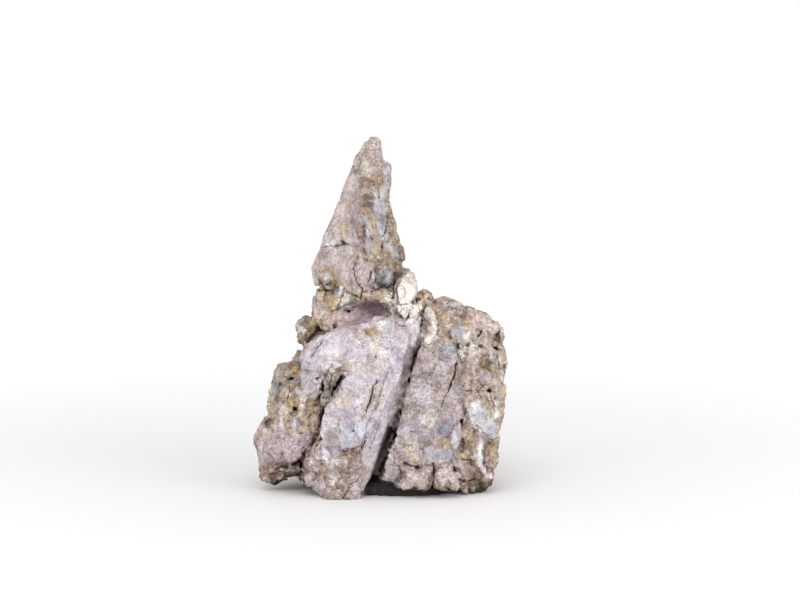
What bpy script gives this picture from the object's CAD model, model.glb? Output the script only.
"""The ibigawa rock as it looks: a mauve breccia with ochre filling, blue-grey quartz and white calcite.

The skin is one closed surface, drawn in the same front elevation as the solid: a sheet point (u, v) and a depth in
millimetres. The masses are grown together, clefts, cracks and pits are carved, and the cemented fragments each get
their own height, tilt and colour.
"""

import math

import bmesh
import bpy
import numpy as np
from mathutils import Matrix, Vector


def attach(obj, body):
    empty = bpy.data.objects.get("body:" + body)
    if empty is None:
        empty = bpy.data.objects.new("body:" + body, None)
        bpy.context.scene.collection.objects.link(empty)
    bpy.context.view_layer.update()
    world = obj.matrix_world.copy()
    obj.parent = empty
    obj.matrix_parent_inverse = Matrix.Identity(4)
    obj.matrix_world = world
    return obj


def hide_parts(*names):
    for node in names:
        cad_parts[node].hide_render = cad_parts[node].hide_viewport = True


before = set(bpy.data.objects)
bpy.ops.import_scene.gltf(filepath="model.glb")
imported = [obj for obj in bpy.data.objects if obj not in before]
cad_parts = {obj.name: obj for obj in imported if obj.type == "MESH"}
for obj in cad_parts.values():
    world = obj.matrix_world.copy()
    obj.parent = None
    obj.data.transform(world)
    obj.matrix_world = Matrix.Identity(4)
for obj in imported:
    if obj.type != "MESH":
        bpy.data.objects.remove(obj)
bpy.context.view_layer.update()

F32 = np.float32

# ---------------------------------------------------------------- the elevation drawing
SHEET_UNIT = 0.74  # mm
SHEET_AXIS = (400.0, 305.5)
SHEET_MID_U = 381.5
EYE_DISTANCE = 1600.0  # mm
EYE_TILT = math.radians(6.0)
AXIS_HEIGHT = 136.6  # mm
LEAN = math.radians(17.0)  # lean of the slabs, to the right at the top

COS, SIN = math.cos(EYE_TILT), math.sin(EYE_TILT)
EYE = np.array([(SHEET_AXIS[0] - SHEET_MID_U) * SHEET_UNIT, -EYE_DISTANCE * COS, AXIS_HEIGHT + EYE_DISTANCE * SIN])
AHEAD = np.array([0.0, COS, -SIN])
UP = np.array([0.0, SIN, COS])
FOCUS = EYE_DISTANCE / SHEET_UNIT


def seen(u, v, depth):
    ray = AHEAD + np.array([1.0, 0.0, 0.0]) * ((u - SHEET_AXIS[0]) / FOCUS) + UP * ((SHEET_AXIS[1] - v) / FOCUS)
    return EYE + ray * ((depth - EYE[1]) / ray[1])


def sheet_of(p):
    """Where points (N, 3) in mm stand on the sheet."""
    r = p - EYE.astype(F32)
    far = r @ AHEAD.astype(F32)
    return (SHEET_AXIS[0] + F32(FOCUS) * r[:, 0] / far, SHEET_AXIS[1] - F32(FOCUS) * (r @ UP.astype(F32)) / far)


# ---------------------------------------------------------------- the masses: look, drawn points, hidden points
MASSES = [
    ("tip", [(368, 138, 4), (372, 135, 5), (377, 135, 6), (380, 140, 6), (382, 150, 7), (382, 163, 6), (359, 149, 3),
             (353, 157, 3), (349, 170, 2), (362, 186, -7), (374, 184, -6), (384, 178, 1)],
     [(-10, 15, 250), (-2, 17, 246), (-14, 16, 234), (0, 19, 230)]),
    ("mauve", [(352, 166, 2), (340, 196, 1), (326, 231, 0), (317, 252, 1), (311, 266, 2), (310, 274, 2), (314, 287, 0),
               (361, 186, -7), (359, 215, -12), (358, 250, -19), (357, 270, -23), (355, 288, -24), (335, 288, -12)],
     [(-16, 16, 236), (2, 26, 200), (-32, 28, 196), (-46, 32, 165), (-44, 34, 153), (0, 38, 153), (-20, 42, 158)]),
    ("broken", [(361, 176, -5), (375, 174, -4), (359, 188, -6.5), (376, 186, -6), (386, 196, -1), (389, 208, 2), (393, 220, 4), (396, 236, 5),
                (401, 247, 6), (404, 256, 6), (404, 268, 6), (398, 282, 0), (380, 288, -14), (361, 288, -23),
                (357, 250, -21), (358, 215, -13)],
     [(12, 24, 170), (8, 26, 200), (-2, 20, 230), (12, 26, 155)]),
    ("shoulder", [(384, 163, 4), (386, 161, 6), (390, 163, 8), (392, 170, 8), (390.5, 186, 8), (387, 197, 5),
                  (383, 204, 0), (381, 182, -4)],
     [(4, 18, 236), (6, 20, 220), (4, 18, 212)]),
    ("shoulder", [(379, 156, 4), (385, 162, 3), (388, 172, 3), (388, 192, 2), (380, 200, -3), (374, 190, -5),
                  (374, 170, -1)],
     [(2, 18, 238), (4, 18, 212), (-4, 18, 236), (-4, 18, 212)]),
    ("back", [(362, 150, 10), (378, 150, 11), (386, 200, 6), (332, 232, 6), (398, 262, 8), (318, 272, 8)],
     [(-6, 20, 238), (-10, 24, 222), (4, 25, 212), (12, 30, 180), (-22, 34, 186), (14, 32, 154), (-34, 38, 160),
      (-14, 42, 164), (-24, 44, 150)]),
    ("neck", [(315, 289, -1), (326, 288, -9), (338, 288.5, -14), (341, 300, -15), (341, 306, -13), (336, 322, -14), (330, 333, -18),
              (316, 326, -4), (313, 316, 2), (313, 302, 2)],
     [(-45, 28, 148), (-45, 28, 120), (-20, 30, 120), (-20, 30, 150)]),
    ("neck", [(338, 287, -14), (352, 288, -22), (368, 288, -23), (382, 288, -18), (396, 294, -13), (398, 316, -16),
              (386, 304, -19), (366, 302, -20), (350, 303, -19), (338, 300, -13), (386, 326, -18), (350, 330, -14),
              (336, 326, -14)],
     [(-35, 36, 150), (14, 38, 150), (-35, 40, 118), (16, 42, 118)]),
    ("back", [], [(-38, 38, 160), (-2, 42, 164), (20, 34, 160), (24, 14, 158), (24, 14, 132), (22, 44, 128),
                  (-42, 42, 130), (-44, 24, 150), (-20, 0, 140)]),
    ("lobe", [], [(-56, -8, 108), (-52, 12, 118), (-38, 20, 124), (-34, -12, 118), (-60, 14, 94), (-56, -16, 92),
                  (-30, 0, 90)]),
    ("knob", [(302, 317, 6), (309, 319, 4), (315, 323, 0), (316, 333, -3), (309, 343, -4), (303, 350, 0),
              (299, 342, 3), (297, 332, 6), (295, 328, 8), (299, 322, 7), (306, 327, -3), (306, 340, -4)],
     [(-56, 18, 122), (-48, 22, 124), (-48, 22, 108), (-56, 16, 112)]),
    ("calcite", [(401, 279, -8), (408, 276, -6), (415, 283, -5), (417, 294, -8), (414, 306, -14), (400, 308, -18),
                 (393, 296, -14), (396, 284, -10)],
     [(14, 18, 162), (24, 18, 158), (26, 18, 145)]),
    ("calcite", [(386, 290, -13), (396, 292, -15), (416, 300, -13), (415, 314, -20), (408, 326, -28), (400, 328, -30),
                 (390, 316, -22), (384, 300, -16)],
     [(8, 18, 150), (26, 18, 145), (26, 18, 125), (6, 18, 125)]),
    ("crust", [(417, 295, -6), (424, 293, -4), (430, 299, -3), (431, 312, -14), (426, 324, -26), (416, 320, -27), (424, 330, -34)],
     [(28, 20, 145), (38, 22, 142), (40, 22, 125)]),
    ("slab", [(300, 358, -28), (308, 345, -31), (318, 335, -35), (342, 328, -41), (366, 325, -44), (388, 319, -42),
              (411, 322, -37), (409, 345, -45), (402, 371, -51), (389, 394, -56), (347, 373, -54), (322, 372, -47),
              (303, 368, -38)],
     [(-57, -14, 108), (-54, -16, 98), (-40, -20, 90), (20, -6, 128), (-20, -4, 126), (8, -24, 90)]),
    ("slab", [(346, 372, -54), (389, 392, -56), (383, 410, -58), (367, 436, -59), (357, 455, -57), (334, 456, -55),
              (319, 432, -49), (326, 402, -51), (336, 385, -52)],
     [(-32, -20, 90), (-38, -20, 40), (4, -24, 90), (-10, -24, 40)]),
    ("limb", [(303, 358, -33), (326, 368, -45), (326, 380, -47), (322, 394, -46), (314, 403, -45), (305, 398, -38),
              (300, 385, -33), (299, 370, -31)],
     [(-52, -14, 92), (-46, -14, 70), (-54, -10, 74)]),
    ("strip", [(408, 345, -44), (402, 371, -48), (392, 400, -51), (387, 420, -50), (380, 445, -49), (372, 468, -46),
               (364, 492, -41), (352, 498, -43), (352, 470, -52), (364, 440, -56), (384, 404, -56)],
     [(18, -26, 96), (12, -28, 66), (4, -24, 40), (-8, -20, 12), (-14, -12, 3), (-26, -16, 3)]),
    ("tooth", [(328, 368, -51), (342, 368, -54), (340, 380, -52), (334, 393, -51), (329, 402, -48), (322, 400, -46),
               (324, 386, -47)],
     [(-44, -24, 90), (-32, -24, 90), (-42, -24, 74)]),
    ("vein", [(410, 322, -37), (421.2, 316, -33), (420, 330, -38), (418.6, 344, -38), (411, 366, -38), (403, 390, -42), (398, 414, -43),
              (392, 428, -42), (386, 420, -47), (390, 408, -49), (398, 375, -46)],
     [(30, -10, 130), (18, -16, 76), (8, -20, 62), (2, -20, 66), (10, -8, 126)]),
    ("foot", [(318, 438, -45), (330, 440, -52), (303, 458, -36), (311, 449, -42), (331, 450, -53), (356, 452, -57), (363, 470, -53), (362, 490, -47),
              (352, 501, -47), (336, 502, -47), (322, 499, -42), (313, 491, -36), (305, 479, -30), (301, 466, -30)],
     [(-56, -8, 28), (-50, -6, 8), (-38, 0, -4), (-14, 0, -4), (-8, -8, 28), (-14, -34, -5), (-34, -40, -5)]),
    ("lobe", [(280, 364, -6), (285, 365, -10), (300, 366, -24), (318, 378, -41), (325, 394, -43), (320, 424, -42),
              (312, 440, -41), (298, 434, -40), (272, 430, -22), (262, 428, -11), (266, 414, -8), (271, 394, -6), (273, 377, -4)],
     [(-72, 8, 91), (-60, 20, 91), (-78, 18, 68), (-81, 20, 44), (-40, 20, 50)]),
    ("lobe_pink", [(292, 428, -37), (310, 430, -41), (263, 420, -12), (258, 432, -10), (255, 442, -6), (257, 456, -8), (261, 461, -20), (282, 436, -33),
                   (300, 438, -41), (314, 443, -43), (304, 456, -38), (298, 462, -35), (270, 463, -27)],
     [(-88, 18, 50), (-88, 18, 30), (-50, 20, 30)]),
    ("lobe_foot", [(257, 457, -6), (258, 470, -6), (263, 481, -9), (272, 487, -12), (284, 480, -19), (298, 475, -27),
                   (300, 461, -31), (270, 461, -22)],
     [(-84, 14, 22), (-76, 16, 8), (-50, 18, 12)]),
    ("lobe_foot", [(319, 388, -39), (331, 394, -41), (324, 430, -40), (316, 448, -40), (306, 482, -28),
                   (298, 477, -26), (300, 456, -33), (312, 436, -37)],
     [(-60, 0, 70), (-30, 0, 90), (-30, 0, 30), (-58, 0, 20)]),
    ("block", [(422.4, 313, -25), (421.6, 320, -33), (419.6, 340, -42), (416.4, 354, -46), (412.6, 372, -50), (406, 400, -52), (400, 435, -50), (392, 450, -47),
               (387, 460, -46), (382, 472, -42), (394, 474, -46), (400, 466, -48), (430, 462, -50), (452, 462, -48), (460, 440, -47), (462, 385, -49), (457, 352, -46), (445, 330, -38)],
     [(34, 10, 128), (22, 6, 50), (62, 10, 40), (62, 10, 116), (30, -20, 90), (20, -22, 55)]),
    ("block_right", [(459, 345, -42), (468, 349, -40), (490, 352, -29), (503, 350, -12), (508, 362, -8),
                     (504, 380, -8), (500, 418, -10), (499, 445, -11), (482, 456, -33), (464, 462, -42)],
     [(87, 24, 100), (84, 28, 50), (60, 26, 110), (60, 26, 40)]),
    ("block_top", [(429, 300, -10), (445, 299, -6), (459, 303, -4), (472, 312, -6), (487, 316, -3), (497, 323, 1),
                   (502, 338, -2), (507, 350, -6), (481, 346, -29), (456, 342, -37), (431, 342, -35), (422, 316, -20)],
     [(34, 20, 138), (56, 24, 132), (76, 24, 120), (86, 24, 106)]),
    ("block_right", [(448, 425, -43), (470, 420, -36), (484, 450, -30), (470, 470, -34), (450, 472, -40),
                     (440, 450, -44)],
     [(40, -6, 60), (70, 0, 60), (66, 0, 20), (44, -6, 24)]),
    ("toe", [(396, 446, -50), (386, 466, -44), (384, 477, -39), (400, 480, -38), (446, 483, -37), (460, 480, -35),
             (464, 460, -44), (456, 446, -48), (425, 444, -51)],
     [(6, -14, 18), (56, -8, 12), (50, -6, 40)]),
    ("toe", [(395, 450, -47), (386, 463, -42), (378, 475, -35), (380, 480, -33), (397, 483, -40), (403, 491, -38),
             (424, 492, -38), (434, 484, -40), (434, 462, -48), (410, 448, -51)],
     [(4, -14, 18), (36, -8, 10), (32, -8, 40)]),
    ("toe", [(432, 478, -40), (436, 489, -36), (444, 493, -36), (456, 490, -36), (468, 480, -40), (462, 462, -45),
             (442, 460, -46)],
     [(40, -10, 10), (58, -8, 10), (50, -6, 40)]),
    ("toe_dark", [(458, 456, -44), (481, 448, -36), (499, 442, -17), (499, 464, -14), (493, 480, -17), (485, 491, -20),
                  (461, 491, -32), (452, 472, -42)],
     [(80, 28, 22), (74, 30, 8), (54, 26, 8), (56, 20, 40)]),
    ("back", [], [(-58, 4, -4), (-54, 38, -4), (-20, 55, -4), (30, 53, -4), (60, 36, -4), (64, 8, -4), (34, -20, -4),
                  (-34, -24, -4), (-74, 6, 30), (-66, 38, 36), (-34, 58, 50), (28, 60, 50), (74, 40, 34), (80, 8, 40),
                  (-70, 4, 82), (-54, 34, 92), (74, 30, 92), (72, 4, 106)]),
    ("back", [], [(-58, 2, 98), (-48, 28, 112), (-34, 42, 118), (10, 48, 124), (46, 42, 118), (74, 30, 106),
                  (72, 8, 116), (38, 6, 130), (-42, 4, 122), (16, -20, 118), (-40, -24, 60), (60, -20, 60),
                  (-44, 48, 60), (60, 48, 60)]),
    ("back", [], [(16, 10, 150), (34, 14, 138), (58, 16, 130), (80, 20, 112), (84, 30, 96), (62, 40, 112),
                  (30, 46, 128), (4, 44, 148), (-30, 42, 140), (-48, 30, 122), (-58, 14, 104), (-44, 10, 118),
                  (-20, 0, 100), (50, 0, 90)]),
    ("back_slab", [], [(-34, 58, 6), (-8, 66, 4), (8, 66, 30), (20, 63, 92), (14, 54, 130), (-10, 50, 140),
                       (-22, 58, 96), (-38, 61, 44), (-10, 30, 130), (-20, 30, 20)]),
    ("back", [], [(-70, 30, 12), (-46, 54, 6), (-42, 56, 70), (-54, 42, 104), (-70, 26, 92), (-80, 22, 50),
                  (-50, 20, 60)]),
    ("back", [], [(36, 58, 8), (64, 44, 6), (82, 30, 36), (82, 30, 84), (64, 40, 104), (40, 54, 96), (34, 62, 50),
                  (40, 20, 60)]),
    ("calcite", [(399, 282, -17), (403, 278, -17), (409, 276.5, -15), (414, 280, -14), (416.4, 288, -17), (415.2, 295, -19),
                 (413.8, 303, -21), (405, 304.4, -23), (398.4, 303.6, -22), (398.2, 291, -20), (400, 280, -4),
                 (412, 278, -4), (415, 298, -4), (399, 300, -4)], []),
    ("calcite", [(396, 303.4, -24), (405, 302.4, -25), (413.6, 301, -24), (410.4, 310, -27), (406.8, 316, -29),
                 (404.6, 321.6, -31), (401, 317.4, -30), (395.4, 311, -26), (398, 306, -8), (412, 304, -8),
                 (405, 320, -14), (396, 310, -10)], []),
    ("calcite", [(414.6, 305.4, -23), (421.2, 304, -21), (422.6, 308.6, -23), (419.4, 315.6, -26), (416.2, 322.6, -29),
                 (406.6, 322.6, -30), (411.2, 311, -26), (416, 306, -8), (421, 306, -8), (412, 321, -12),
                 (418, 318, -12)], []),
    ("block", [(390, 438, -48), (386, 455, -47.5), (380, 469, -46.5), (376.5, 479.6, -45), (384, 481, -46),
               (394, 482, -46), (400, 476, -48), (402, 458, -50), (399, 442, -51), (390, 450, -22), (384, 474, -22),
               (398, 476, -22), (398, 450, -22)], []),
    ("under", [], [(-14, -31, -4), (8, -34.5, -4), (28, -34, -4), (48, -27, -4), (-14, -30, 8), (8, -34, 10), (28, -33, 8),
                   (46, -26, 5), (-14, -12, -4), (50, -12, -4), (-14, -12, 12), (50, -12, 12)]),
]

# fragments that stand out: (look, u, v, depth, half width, half depth, half height, turn)
LUMPS = [
    ("boss", 363, 276, -21, 8.5, 5, 10.5, 4),
    ("nodule", 328, 277, -6, 7, 6, 7, 0),
    ("mauve", 319, 271, 2, 5, 8, 8, 10),
    ("neck", 325, 287, -5, 7, 6, 5, 0),
    ("neck", 334, 288, -10, 6, 5, 4, 0),
    ("broken", 383, 278, -12, 7, 6, 8, 20),
    ("broken", 400.5, 252, 6, 3.4, 7, 8, -20),
    ("broken", 398, 270, 2, 4, 7, 6, 0),
    ("mauve", 360.5, 229, -12.5, 3.6, 4, 10, 3),
    ("mauve", 359.5, 248, -16.5, 4.2, 4, 9, 0),
    ("neck", 322, 300, 0, 5, 9, 5, 0),
    ("neck", 321, 313, 2, 5, 9, 6, 0),
    ("neck", 331, 304, -8, 5, 6, 10, 4),
    ("neck", 345, 298, -11, 8, 6, 6, -10),
    ("neck", 357, 297, -15, 5, 5, 6, 20),
    ("neck", 390, 303, -14, 6, 5, 7, 0),
    ("neck", 381, 316, -21, 4, 4, 4, 0),
    ("calcite", 406, 290, -9, 6, 6, 8, -10),
    ("calcite", 402, 312, -17, 6, 6, 6, 20),
    ("calcite", 414, 313, -17, 4, 5, 6, 20),
    ("crust", 424, 297, -4, 5, 7, 4, 0),
    ("calcite", 431, 326, -28, 5, 7, 14, 14),
    ("block_top", 443, 306, -9, 8, 9, 6, 0),
    ("block_top", 457, 308, -6, 6, 9, 6, 0),
    ("block_top", 473, 321, -8, 9, 10, 7, 0),
    ("block_top", 488, 329, -6, 8, 10, 8, 0),
    ("block_right", 502, 354, -6, 4, 9, 7, 0),
    ("block_right", 486, 362, -27, 7, 6, 7, 0),
    ("block_right", 459, 335, -37, 8, 5, 7, 0),
    ("block_right", 470, 360, -38, 5, 5, 12, 8),
    ("block_right", 492, 384, -20, 8, 7, 6, 0),
    ("block_right", 482, 420, -34, 13, 6, 15, 28),
    ("block_right", 490, 456, -24, 7, 8, 10, -15),
    ("block", 444, 430, -46, 8, 4, 6, 0),
    ("block", 413, 456, -47, 9, 5, 8, -20),
    ("toe", 446, 478, -42, 9.5, 8, 10.5, 0),
    ("toe", 418, 479, -43, 9, 8, 9, 0),
    ("toe", 406, 482, -39, 6, 7, 6.5, 0),
    ("block", 389, 471, -40, 6.5, 6, 6.5, -14),
    ("toe_dark", 484, 476, -22, 7, 8, 9, 0),
    ("lobe_pink", 281, 447, -26, 14, 7, 10, -12),
    ("lobe_foot", 267, 474, -10, 6, 8, 7, 0),
    ("lobe_foot", 269, 479, -12, 4.6, 7, 4, 0),
    ("lobe", 259, 441, -7, 3, 7, 5, 0),
    ("lobe", 283, 375, -9, 6, 8, 7, 0),
    ("lobe", 294, 378, -19, 7, 7, 8, 0),
    ("lobe", 279, 390, -9, 7, 7, 9, 0),
    ("lobe", 296, 404, -28, 6, 7, 10, 0),
    ("lobe", 271, 424, -14, 5, 6, 6, 0),
    ("lobe", 296, 427, -36, 7, 5, 8, 0),
    ("lobe", 307, 412, -37, 6, 6, 9, 10),
    ("tooth", 329, 392, -50, 4, 4, 4, 0),
    ("tooth", 334, 386, -52, 3.4, 4, 5, 10),
    ("tooth", 324, 399, -46, 4, 4, 5, 0),
    ("lobe", 320, 410, -43, 4, 4, 6, 0),
    ("foot", 310, 478, -33, 6, 6, 7, 0),
    ("foot", 330, 487, -44, 9, 6, 7, 0),
    ("foot", 352, 489, -46, 8, 5, 7, 15),
    ("foot", 315, 462, -40, 8, 6, 8, 0),
    ("foot", 345, 468, -52, 9, 5, 6, 0),
    ("block_right", 500, 336, -1, 3.4, 8, 6, -10),
    ("slab", 350, 329, -36, 7, 5, 3, -6),
    ("slab", 380, 321, -37, 6, 5, 3.6, 0),
    ("slab", 334, 333, -34, 5, 5, 3, -20),
]
BACK_LUMPS = [
    (-24, 38, 168, 12, 6, 14, 10), (-6, 30, 186, 9, 6, 15, 6), (-30, 34, 150, 12, 9, 8, 0), (6, 34, 158, 12, 8, 9, 0),
    (-16, 21.5, 203, 7, 4.5, 10, 8), (-6, 54, 120, 11, 8, 12, 12), (-46, 44, 92, 12, 9, 10, 0),
    (-58, 40, 66, 11, 9, 13, 12), (-50, 52, 34, 13, 8, 12, 0), (-70, 32, 34, 11, 10, 12, 0), (-77, 6, 66, 7, 12, 13, 0),
    (-80, 4, 44, 7, 12, 9, 0), (-24, 60, 20, 12, 8, 10, 0),
    (26, 56, 62, 9, 8, 14, 12), (44, 50, 90, 13, 8, 11, 0), (56, 46, 62, 13, 8, 12, 0), (50, 52, 28, 14, 8, 12, 0),
    (74, 36, 58, 10, 10, 14, 0), (70, 34, 22, 11, 10, 10, 0), (70, 32, 92, 12, 10, 9, 0), (30, 40, 118, 13, 8, 8, 0),
    (58, 30, 116, 12, 10, 8, 0), (84, 12, 84, 6, 12, 11, 0), (82, 8, 48, 5, 12, 13, 0), (79, 10, 22, 6, 11, 9, 0),
]

# clefts: stations (v, left edge, right edge, mouth depth, end u, end depth)
CLEFTS = [
    [(340, 419.4, 419.6, -62, 420.2, -40), (347, 416.6, 418.0, -66, 419.6, -32), (354, 411.8, 416.0, -68, 418, -24),
     (364, 404.5, 412.6, -70, 416, -14), (374, 403.0, 410.6, -72, 413, -14), (384, 404.4, 408.6, -72, 411, -14),
     (394, 402.0, 405.4, -72, 408, -12), (404, 400.0, 402.2, -72, 406, -12), (416, 397.4, 399.4, -72, 403, -10),
     (428, 393.0, 396.6, -72, 400, -10), (438, 391.0, 393.6, -72, 396, -8), (448, 384.6, 390.2, -72, 392, -6),
     (458, 379.4, 386.6, -72, 389, -4), (468, 374.6, 382.4, -72, 385, -2), (478, 369.0, 376.8, -70, 379, -30),
     (499, 364.0, 386.0, -66, 376, -32)],
    [(371, 344.5, 345.1, -66, 344, -51), (379, 341.5, 342.2, -66, 341, -49), (388, 336.9, 337.6, -66, 336, -50),
     (396, 331.4, 332.2, -66, 331, -48), (408, 325.1, 325.7, -66, 325, -45), (418, 321.5, 321.9, -66, 322, -44),
     (430, 318.9, 319.2, -64, 320, -43), (441, 313.4, 314.4, -62, 315, -37), (451, 305.3, 306.5, -60, 306, -30),
     (459, 301.3, 302.5, -60, 303, -28),
     (479, 299.4, 300.6, -58, 301, -24)],
    [(373, 326.8, 327.6, -60, 327, -46), (380, 324.9, 326.1, -60, 325, -44), (387, 322.7, 323.2, -60, 323, -45)],
    [(289.4, 306.0, 314.5, -30, 315, 4), (290.2, 306.0, 314.5, -30, 315, 4)],
]
# the same in the hidden back, in mm: (height, left edge, right edge, mouth, end x, end)
BACK_CLEFTS = [
    [(132, -34, -28, 90, -28, 40), (90, -46, -38, 90, -37, 38), (40, -50, -42, 90, -40, 38), (-10, -50, -36, 90, -38, 40)],
    [(138, 20, 27, 90, 24, 42), (90, 17, 25, 90, 22, 38), (44, 10, 18, 90, 16, 42), (-10, 2, 16, 90, 10, 44)],
    [(104, 54, 58, 90, 50, 34), (60, 62, 66, 90, 58, 30), (10, 60, 68, 90, 58, 32)],
]
# scoops and the arches under the stone: (look, middle, half-lengths, turn)
SCOOPS = [
    ("hollow", seen(356, 314, -25), (20, 12, 8.5), 14),
    ("hollow", seen(374, 311, -18), (12, 9, 7.5), -14),
    ("brown", seen(286, 469, -30), (8, 7, 1.6), 8),
    ("brown", seen(350, 455, -62), (9, 7, 4), 6),
    ("block_right", seen(487, 366, -36), (5, 7, 5), 0),
    ("block_right", seen(454, 321, -34), (3.6, 7, 3.2), 0),
    ("under", (2, -53, 0), (15, 19, 12.5), 0),
    ("under", (24, -52, -1), (20, 19, 9.5), 0),
    ("under", (50, -50, -5), (52, 20, 12), 0),
    ("under", (-65, -22, -2), (17.5, 34, 13), 8),
    ("lobe_foot", seen(291, 481, -20), (8, 26, 5), 4),
    ("under", (-70, 34, -2), (16, 20, 11), 0),
    ("under", (-66, -34, 2), (10, 28, 15), 0),
    ("under", (76, 30, -2), (20, 28, 10), 0),
    ("under", (20, 62, -2), (16, 14, 10), 0),
]

# cracks: (width, depth in mm, points on the sheet)
CRACKS = [
    # peak
    (0.7, 1.4, [(321, 247), (328, 245.5), (335, 246), (346, 244.5)]),
    (1.2, 2.0, [(341, 241.5), (345, 243), (349, 244)]),
    (0.9, 3.4, [(355, 264), (354, 270), (354.5, 276), (357, 282), (361, 286), (362, 289)]),
    (1.2, 3.4, [(371, 271), (370, 277), (368.6, 283)]),
    (1.1, 3.6, [(362, 288), (361, 294), (360, 300)]),
    (0.9, 2.4, [(361, 291), (367, 291.5), (373, 291.5), (379, 289)]),
    (1.2, 2.6, [(347, 291), (352, 294.5), (358, 297.5)]),
    (1.2, 3.6, [(314, 291), (320, 290.5), (326, 289.5), (332, 290)]),
    (1.0, 2.0, [(320, 281), (324, 286)]),
    (1.4, 3.0, [(394, 288), (394.5, 294), (392, 299)]),
    (1.3, 2.2, [(344, 309.5), (349, 311.5), (353, 309)]),
    (0.8, 1.6, [(338, 310), (342, 306.5), (347, 304.5), (353, 307), (359, 308)]),
    (0.8, 2.2, [(414, 301), (411, 307), (408, 314), (405, 321)]),
    (1.0, 3.2, [(427, 305), (424.5, 309), (422, 313)]),
    (0.8, 2.0, [(421.6, 318), (421.3, 325)]), (0.7, 1.6, [(420.6, 331), (419.6, 338), (418, 344)]),
    (0.9, 1.4, [(396, 324.5), (401, 326), (406, 326)]),
    (0.8, 1.2, [(400, 281), (397, 288), (397, 296), (400, 303), (408, 304.5), (414, 300)]),
    (0.9, 1.6, [(404, 306), (400, 312), (403, 320)]),
    # slab
    (0.9, 2.0, [(321.5, 342), (318, 348), (314.5, 353), (311.5, 358)]),
    (1.7, 3.6, [(317, 379), (320.5, 375.5)]),
    (0.6, 1.6, [(345, 376), (341, 383), (337.5, 390), (335, 397)]),
    (0.9, 2.0, [(337, 383), (334, 389), (332, 395)]),
    (0.9, 2.0, [(333, 374), (331, 382), (329.5, 389)]),
    (0.7, 1.4, [(327.5, 402), (325, 408), (322.5, 414), (321, 421), (320, 428), (318, 436), (314.5, 441),
                (310, 445), (304.5, 451)]),
    (1.3, 4.5, [(376.5, 381), (373.5, 386), (372.5, 393), (371, 400), (369, 405), (366.5, 412)]),
    (1.0, 1.6, [(366, 414), (362, 418), (363, 422)]),
    (0.9, 1.8, [(339, 450), (345, 450.5), (350, 449), (355, 448.5), (361, 447), (363.5, 443), (366.5, 437)]),
    (0.8, 1.2, [(355, 424), (353, 431)]),
    (1.2, 2.4, [(318, 443), (314.5, 450)]),
    (0.8, 1.8, [(303, 451), (301.5, 458), (300.5, 465), (301, 473), (304, 482)]),
    (1.0, 2.2, [(343, 500), (347, 491), (350, 485), (357, 480)]),
    (0.8, 1.2, [(398, 345), (401, 343)]),
    (0.9, 1.6, [(388, 372), (383, 384), (380, 398), (376, 410)]),
    (0.8, 1.2, [(381, 420), (375, 434), (370, 448)]),
    # lobe
    (2.6, 3.4, [(289, 378.5), (294, 377.5)]),
    (2.2, 2.6, [(294.5, 408), (297, 410)]),
    (1.8, 2.0, [(300, 434), (303, 432.5)]),
    (0.9, 1.8, [(270, 475), (276, 473.5), (284, 472), (292, 471.5)]),
    (1.8, 2.0, [(276, 469), (282, 466.5), (288, 466)]),
    (3.0, 3.0, [(293, 464), (299, 461), (301, 466)]),
    (2.0, 2.6, [(295.5, 475), (298.5, 475)]),
    (1.0, 2.0, [(282, 453), (284.5, 459)]),
    (1.4, 3.0, [(270, 388), (273, 382)]),
    # right block
    (0.6, 1.0, [(457, 352), (457.5, 357), (456.5, 364)]),
    (1.5, 5.0, [(456.5, 364), (455.5, 371), (454, 377), (451, 383), (449, 388)]),
    (0.9, 3.0, [(449, 388), (446.5, 394), (444, 401), (441.5, 407)]),
    (1.7, 2.6, [(482.5, 330.5), (480, 333.5), (477.5, 336)]),
    (1.2, 2.4, [(465, 411), (464, 416), (460.5, 422)]),
    (1.2, 2.4, [(466, 391.5), (472, 390), (478, 391), (484, 390), (488, 392)]),
    (1.2, 2.6, [(497, 356), (498.5, 362), (499.5, 369)]),
    (1.0, 2.0, [(490, 398), (494, 406), (495, 414)]),
    (1.4, 2.4, [(404, 462), (410, 465), (416, 466.5), (419, 471)]),
    (1.3, 4.0, [(432, 463), (434, 469), (433.4, 475), (433.6, 481), (432.5, 487)]),
    (1.2, 2.4, [(453, 466), (456, 471)]),
    (2.4, 3.0, [(394, 431), (396, 435), (394, 439)]),
    (1.2, 2.4, [(475, 467), (468, 460), (462, 459)]),
    (0.6, 1.0, [(396, 446), (394, 454), (395, 462)]),
    (0.8, 1.4, [(486, 441), (483.5, 452), (484, 462), (488, 470)]),
    (0.7, 1.2, [(398, 466), (401, 474), (399, 482)]),
    (1.2, 2.4, [(458, 479), (466, 482), (474, 479)]),
]

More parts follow.
